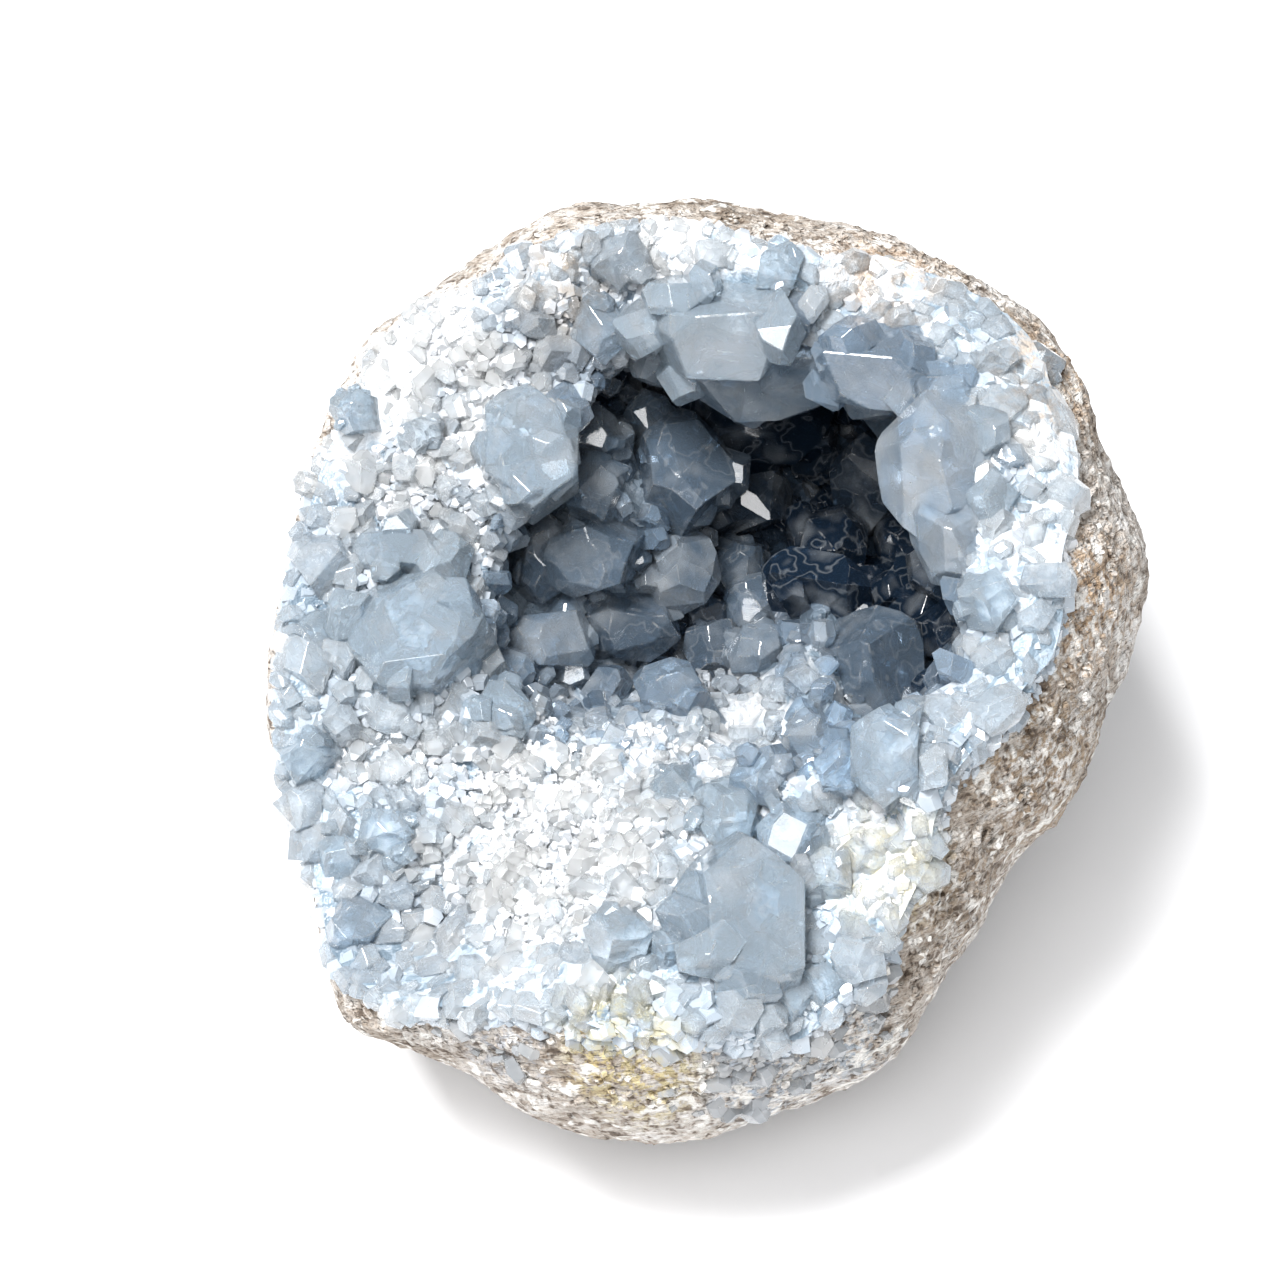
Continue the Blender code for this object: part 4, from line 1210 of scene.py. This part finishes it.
# Stains on the stone and the crystals beside it: u, v and reach in mm in the view frame, then a colour
CRYSTAL_STAINS = (
    (-9, -37, 8, (0.66, 0.56, 0.26)),
    (-6, -41, 8, (0.66, 0.58, 0.34)),
    (19, -20, 8, (0.82, 0.74, 0.50)),
    (-15, 42, 7, (0.44, 0.34, 0.23)),
    (20, 43, 8, (0.52, 0.38, 0.26)),
    (38, 32, 10, (0.52, 0.41, 0.31)),
)
STONE_STAINS = (
    (35, -8, 13, (0.34, 0.26, 0.18)),
    (28, -24, 9, (0.33, 0.26, 0.19)),
    (40, 8, 10, (0.55, 0.41, 0.28)),
    (42, -14, 12, (0.38, 0.30, 0.22)),
    (31, -30, 9, (0.42, 0.36, 0.30)),
    (6, -42, 8, (0.40, 0.46, 0.54)),
    (15, -38, 7, (0.42, 0.48, 0.55)),
    (-20, -38, 7, (0.44, 0.46, 0.50)),
    (-33, -32, 6, (0.55, 0.48, 0.42)),
)


# Celestite's refraction and its kinds: colours from the hollow's depth, partly painted shade, to the face
# and where it is milky, roughness from polished to frosted, clearness, stains, and a clear kind's absorption
REFRACTION = 1.62
CELESTITE = {
    "clear": ((0.03, 0.06, 0.11), (0.57, 0.74, 0.92), (0.86, 0.92, 0.97), (0.02, 0.12), 0.78, (),
              (0.32, 0.58, 0.84), 28.0),
    "pale": ((0.28, 0.42, 0.58), (0.70, 0.83, 0.94), (0.92, 0.95, 0.98), (0.02, 0.12), 0.78, CRYSTAL_STAINS,
             (0.45, 0.67, 0.86), 25.0),
    "chip": ((0.24, 0.31, 0.40), (0.75, 0.83, 0.90), (0.97, 0.98, 0.98), (0.04, 0.28), 0.72, CRYSTAL_STAINS),
    "grey": ((0.20, 0.23, 0.27), (0.55, 0.58, 0.61), (0.80, 0.80, 0.79), (0.08, 0.35), 0.6, CRYSTAL_STAINS),
    "milky": ((0.20, 0.25, 0.31), (0.55, 0.63, 0.71), (0.80, 0.82, 0.85), (0.1, 0.4), 0.3, CRYSTAL_STAINS),
}


def stained(n, base, shift, strength, stains, speck=(2.2 * MM, 0.44, 0.60)):
    """A base colour with the stains laid over it in specks of a size, between two noise levels."""
    u, v, w = (n.math("ADD", n.along(axis), -shift.dot(axis)) for axis in (U_AXIS, V_AXIS, W_AXIS))
    front = n.ramp(n.math("MULTIPLY", n.math("ADD", w, 15 * MM), 1 / (30 * MM)), (0.3, 0.0), (0.6, 1.0))
    size, none, full = speck
    patches = n.ramp(n.noise(size, 4, 0.7), (none, 0.0), (full, 1.0))
    patches = n.math("MULTIPLY", n.math("MULTIPLY", patches, front), strength)
    for at_u, at_v, reach, colour in stains:
        du = n.math("POWER", n.math("ADD", u, -at_u * MM), 2.0)
        dv = n.math("POWER", n.math("ADD", v, -at_v * MM), 2.0)
        distance = n.math("MULTIPLY", n.math("ADD", du, dv), 1 / (reach * MM * reach * MM))
        inside = n.ramp(distance, (0.1, 1.0), (1.0, 0.0))
        base = n.mix(n.math("MULTIPLY", inside, patches), base, colour)
    return base


def stone_material(shift):
    """Weathered rind: chalky grey and cream, with brown grit and fine layers."""
    n = Nodes("weathered_stone")
    squeezed = n.squeezed(STREAK_NORMAL, 5.0)
    base = n.ramp(n.noise(16 * MM, 3, 0.65), (0.34, (0.38, 0.33, 0.28)), (0.44, (0.55, 0.51, 0.47)),
                  (0.55, (0.68, 0.66, 0.64)), (0.68, (0.84, 0.83, 0.82)))
    base = stained(n, base, shift, 0.95, CRYSTAL_STAINS + STONE_STAINS, (1.3 * MM, 0.47, 0.55))
    layers = n.ramp(n.noise(5 * MM, 3, 0.75, where=squeezed), (0.38, (0.50, 0.45, 0.40)),
                    (0.48, (0.86, 0.83, 0.80)), (0.60, (1.0, 1.0, 1.0)))
    base = n.mix(0.8, base, layers, "MULTIPLY")
    grit = n.ramp(n.noise(1.4 * MM, 2, 0.8), (0.36, (0.20, 0.15, 0.11)), (0.44, (0.72, 0.67, 0.62)),
                  (0.58, (1.0, 1.0, 1.0)))
    base = n.mix(0.9, base, grit, "MULTIPLY")
    chalk = n.ramp(n.noise(2.4 * MM, 2, 0.75), (0.55, 0.0), (0.64, 0.85))
    base = n.mix(chalk, base, (0.84, 0.82, 0.78))
    grain = n.bump(n.noise(0.7 * MM, 2, 0.75), 0.6 * MM, 1.0)
    relief = n.bump(n.noise(4 * MM, 2, 0.75, where=squeezed), 1.2 * MM, 0.9, under=grain)
    rough = n.ramp(n.noise(2 * MM), (0.3, 0.72), (0.7, 0.97))
    return n.finish(Base_Color=base, Roughness=rough, Normal=relief)


def bed_material(shift):
    """The crystal bed: sugary, white on the face and dark blue-grey to near black in the hollow, partly its
    deeper blue and partly painted shade.
    """
    n = Nodes("crystal_bed")
    cell = n.cells(1.6 * MM)
    pale = n.ramp(n.part(cell, "X"), (0.0, (0.16, 0.22, 0.28)), (0.5, (0.28, 0.36, 0.43)),
                  (1.0, (0.46, 0.53, 0.60)))
    white = n.math("ADD", n.noise(4 * MM, 2, 0.7), n.math("MULTIPLY", n.tint("Y"), 0.4))
    pale = n.mix(n.ramp(white, (0.62, 0.0), (0.86, 0.95)), pale, (0.90, 0.91, 0.92))
    pale = stained(n, pale, shift, 0.8, CRYSTAL_STAINS)
    # Painted shade: a near-black bed colour for deep in the hollow, mixed in by depth
    deep = n.ramp(n.part(cell, "X"), (0.0, (0.008, 0.012, 0.02)), (1.0, (0.05, 0.08, 0.12)))
    base = n.mix(n.ramp(n.tint("Z"), (0.3, 0.0), (1.0, 1.0)), deep, pale)
    rough = n.ramp(n.part(cell, "Y"), (0.0, 0.15), (1.0, 0.55))
    relief = n.bump(n.noise(0.9 * MM, 2, 0.7), 0.5 * MM, 0.8)
    return n.finish(Base_Color=base, Roughness=rough, Normal=relief, IOR=REFRACTION)


def crystal_material(name, shift, deep, light, milky, rough, clearness, stains, absorb=None,
                     density=0.0):
    """Celestite: from clear to milky, with faint growth lines and bruised edges, and darker deep in the
    hollow, partly its deeper blue and partly painted shade.
    """
    n = Nodes(name)
    lightness = n.math("ADD", n.math("MULTIPLY", n.tint("X"), 0.35), -0.17)
    # Painted shade: the body colour runs by depth from the dark deep colour in the hollow to the light one at
    # the face, partly deeper blue
    body = n.ramp(n.math("ADD", n.tint("Z"), lightness), (0.10, deep), (1.0, light))
    form = n.noise(5 * MM, 2, 0.6)
    cloud = n.ramp(n.math("ADD", form, n.math("MULTIPLY", n.tint("Y"), 0.45)), (0.52, 0.0), (0.92, 1.0))
    veil = n.ramp(n.math("ABSOLUTE", n.math("ADD", form, -0.46)), (0.0, 0.4), (0.02, 0.0))
    base = n.mix(n.math("MAXIMUM", cloud, veil), body, milky)
    if stains:
        base = stained(n, base, shift, 0.55, stains)
    fine = n.noise(1.5 * MM, 2, 0.65)
    worn = n.math("MULTIPLY", n.attribute("wear"), n.ramp(fine, (0.50, 0.0), (0.66, 0.6)))
    base = n.mix(worn, base, (0.97, 0.98, 0.98))
    frost = n.math("ADD", n.ramp(fine, (0.35, rough[0]), (0.75, rough[1])), n.math("MULTIPLY", worn, 0.4))
    relief = n.bump(n.noise(1.8 * MM, 1, 0.6), 0.12 * MM, 0.3)
    finish = n.finish(Base_Color=base, Roughness=frost, Normal=relief, IOR=REFRACTION,
                      Transmission_Weight=clearness)
    if absorb:
        volume = n.add("ShaderNodeVolumeAbsorption", Color=(*absorb, 1), Density=density)
        n.tree.links.new(volume.outputs[0], n.tree.nodes["Material Output"].inputs["Volume"])
    return finish


# Light, floor and camera

FLOOR_REACH = 3.0
FLOOR_GAP = 0.02 * MM
AIM_HEIGHT = 45 * MM
# The lights: the way to each in the view frame, its distance and size in metres, and its watts
LIGHTS = {
    "key": ((-0.30, 0.50, 0.85), 0.9, 0.3, 14),
    "fill": ((-0.15, 0.1, 1.0), 1.2, 0.5, 7),
}
SKY_COLOUR = (0.96, 0.98, 1.0, 1)
SKY_STRENGTH = 0.46
LIGHT_BOUNCES = {"max_bounces": 5, "transmission_bounces": 5, "diffuse_bounces": 2}


def area_light(name, place, aim, size, power):
    """A soft square light."""
    data = bpy.data.lights.new(name, "AREA")
    data.size = size
    data.energy = power
    thing = bpy.data.objects.new(name, data)
    turn = (aim - place).to_track_quat("-Z", "Y").to_matrix().to_4x4()
    thing.matrix_world = Matrix.Translation(place) @ turn
    bpy.context.scene.collection.objects.link(thing)


def make_floor():
    """The pale floor that the geode rests on."""
    n = Nodes("floor_paper")
    n.finish(Base_Color=(0.92, 0.92, 0.93, 1), Roughness=0.9)
    corners = [(x * FLOOR_REACH, y * FLOOR_REACH, 0) for x, y in ((-1, -1), (1, -1), (1, 1), (-1, 1))]
    floor = mesh_object("floor", corners, [(0, 1, 2, 3)], n.material)
    floor.location.z = -FLOOR_GAP
    floor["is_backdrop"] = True


def make_stage(shift):
    """The floor, the soft lights and the camera."""
    make_floor()
    scene = bpy.context.scene
    middle = Vector((0, 0, AIM_HEIGHT))
    for name, (way, distance, size, power) in LIGHTS.items():
        area_light(name, middle + to_world(*way).normalized() * distance, middle, size, power)
    world = bpy.data.worlds.new("studio")
    world.use_nodes = True
    world.node_tree.nodes["Background"].inputs["Color"].default_value = SKY_COLOUR
    world.node_tree.nodes["Background"].inputs["Strength"].default_value = SKY_STRENGTH
    scene.world = world
    eye = to_world(EYE_U, EYE_V, EYE_DISTANCE) + shift
    aim = to_world(EYE_U, EYE_V, 0) + shift
    lens = bpy.data.cameras.new("camera")
    lens.sensor_width = SENSOR
    lens.lens = SENSOR * EYE_DISTANCE / VIEW_WIDTH
    lens.clip_start = 0.01
    camera = bpy.data.objects.new("camera", lens)
    camera.matrix_world = Matrix.Translation(eye) @ (aim - eye).to_track_quat("-Z", "Y").to_matrix().to_4x4()
    scene.collection.objects.link(camera)
    scene.camera = camera
    scene.view_settings.view_transform = "Standard"
    for name, count in LIGHT_BOUNCES.items():
        setattr(scene.cycles, name, count)


# The node that a piece replaces, and its material slot
RIND = ("rind", "weathered_stone")
CRUST = ("crystal_crust", "celestite")


def settle(thing, node, slot):
    """Ties a piece to its body and hides its node; the material slot is not used."""
    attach(thing, "root")
    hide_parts(node)


def main():
    """Builds the whole scene."""
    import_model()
    cad_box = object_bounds()
    noise.seed_set(SEED)
    form = Form()
    shift = frame_shift(form)
    make_stage(shift)
    finishes = {"stone": stone_material(shift)}
    settle(make_stone(form, shift, finishes["stone"]), *RIND)
    bed = bed_material(shift)
    settle(make_bed(form, shift, bed, "hollow_bed", *HOLLOW_BED, hollow_relief), *CRUST)
    edge = form.edge_ring + BED_PAST_EDGE
    settle(make_bed(form, shift, bed, "face_bed", (FACE_BED_START, edge, FACE_BED_STEPS), FACE_BED_COLUMNS,
                    face_relief), *CRUST)
    for kind, looks in CELESTITE.items():
        finishes[kind] = crystal_material(kind + "_celestite", shift, *looks)
    hollow = Heap()
    rim = Heap()
    whole = unit_shapes(SEED + 3, SHAPE_BEVEL, True) + unit_shapes(SEED + 4, SHAPE_BEVEL, False)
    plain = unit_shapes(SEED + 6, 0, False)
    roots = named_crystals(form, hollow, rim, whole) + overhanging_crystals(form, hollow, whole)
    grounds = {
        "bed": Scatter(as_array(*form.bed()), SEED + 2),
        "stone": Scatter(as_array(*form.stone()), SEED + 8),
    }
    for spot, width in roots:
        grounds["bed"].take(spot, width * MAIN_ROOM)
    heaps = [(hollow, "hollow_main_crystals", "clear"), (rim, "rim_main_crystals", "pale")]
    for name, kind, ground, rows, count, widths, *rest in SCATTERS:
        heap = Heap()
        shapes = whole if widths[1] > WHOLE_WIDTH else plain
        grounds[ground].fill(heap, shapes, rows, count, widths, *rest)
        heaps.append((heap, name, kind))
    for heap, name, kind in heaps:
        settle(heap.made(name, finishes[kind], shift), *(RIND if kind == "stone" else CRUST))
    boxes = {"cad": cad_box, "visual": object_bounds()}
    plain_boxes = {key: [list(corner) for corner in box] for key, box in boxes.items()}


main()
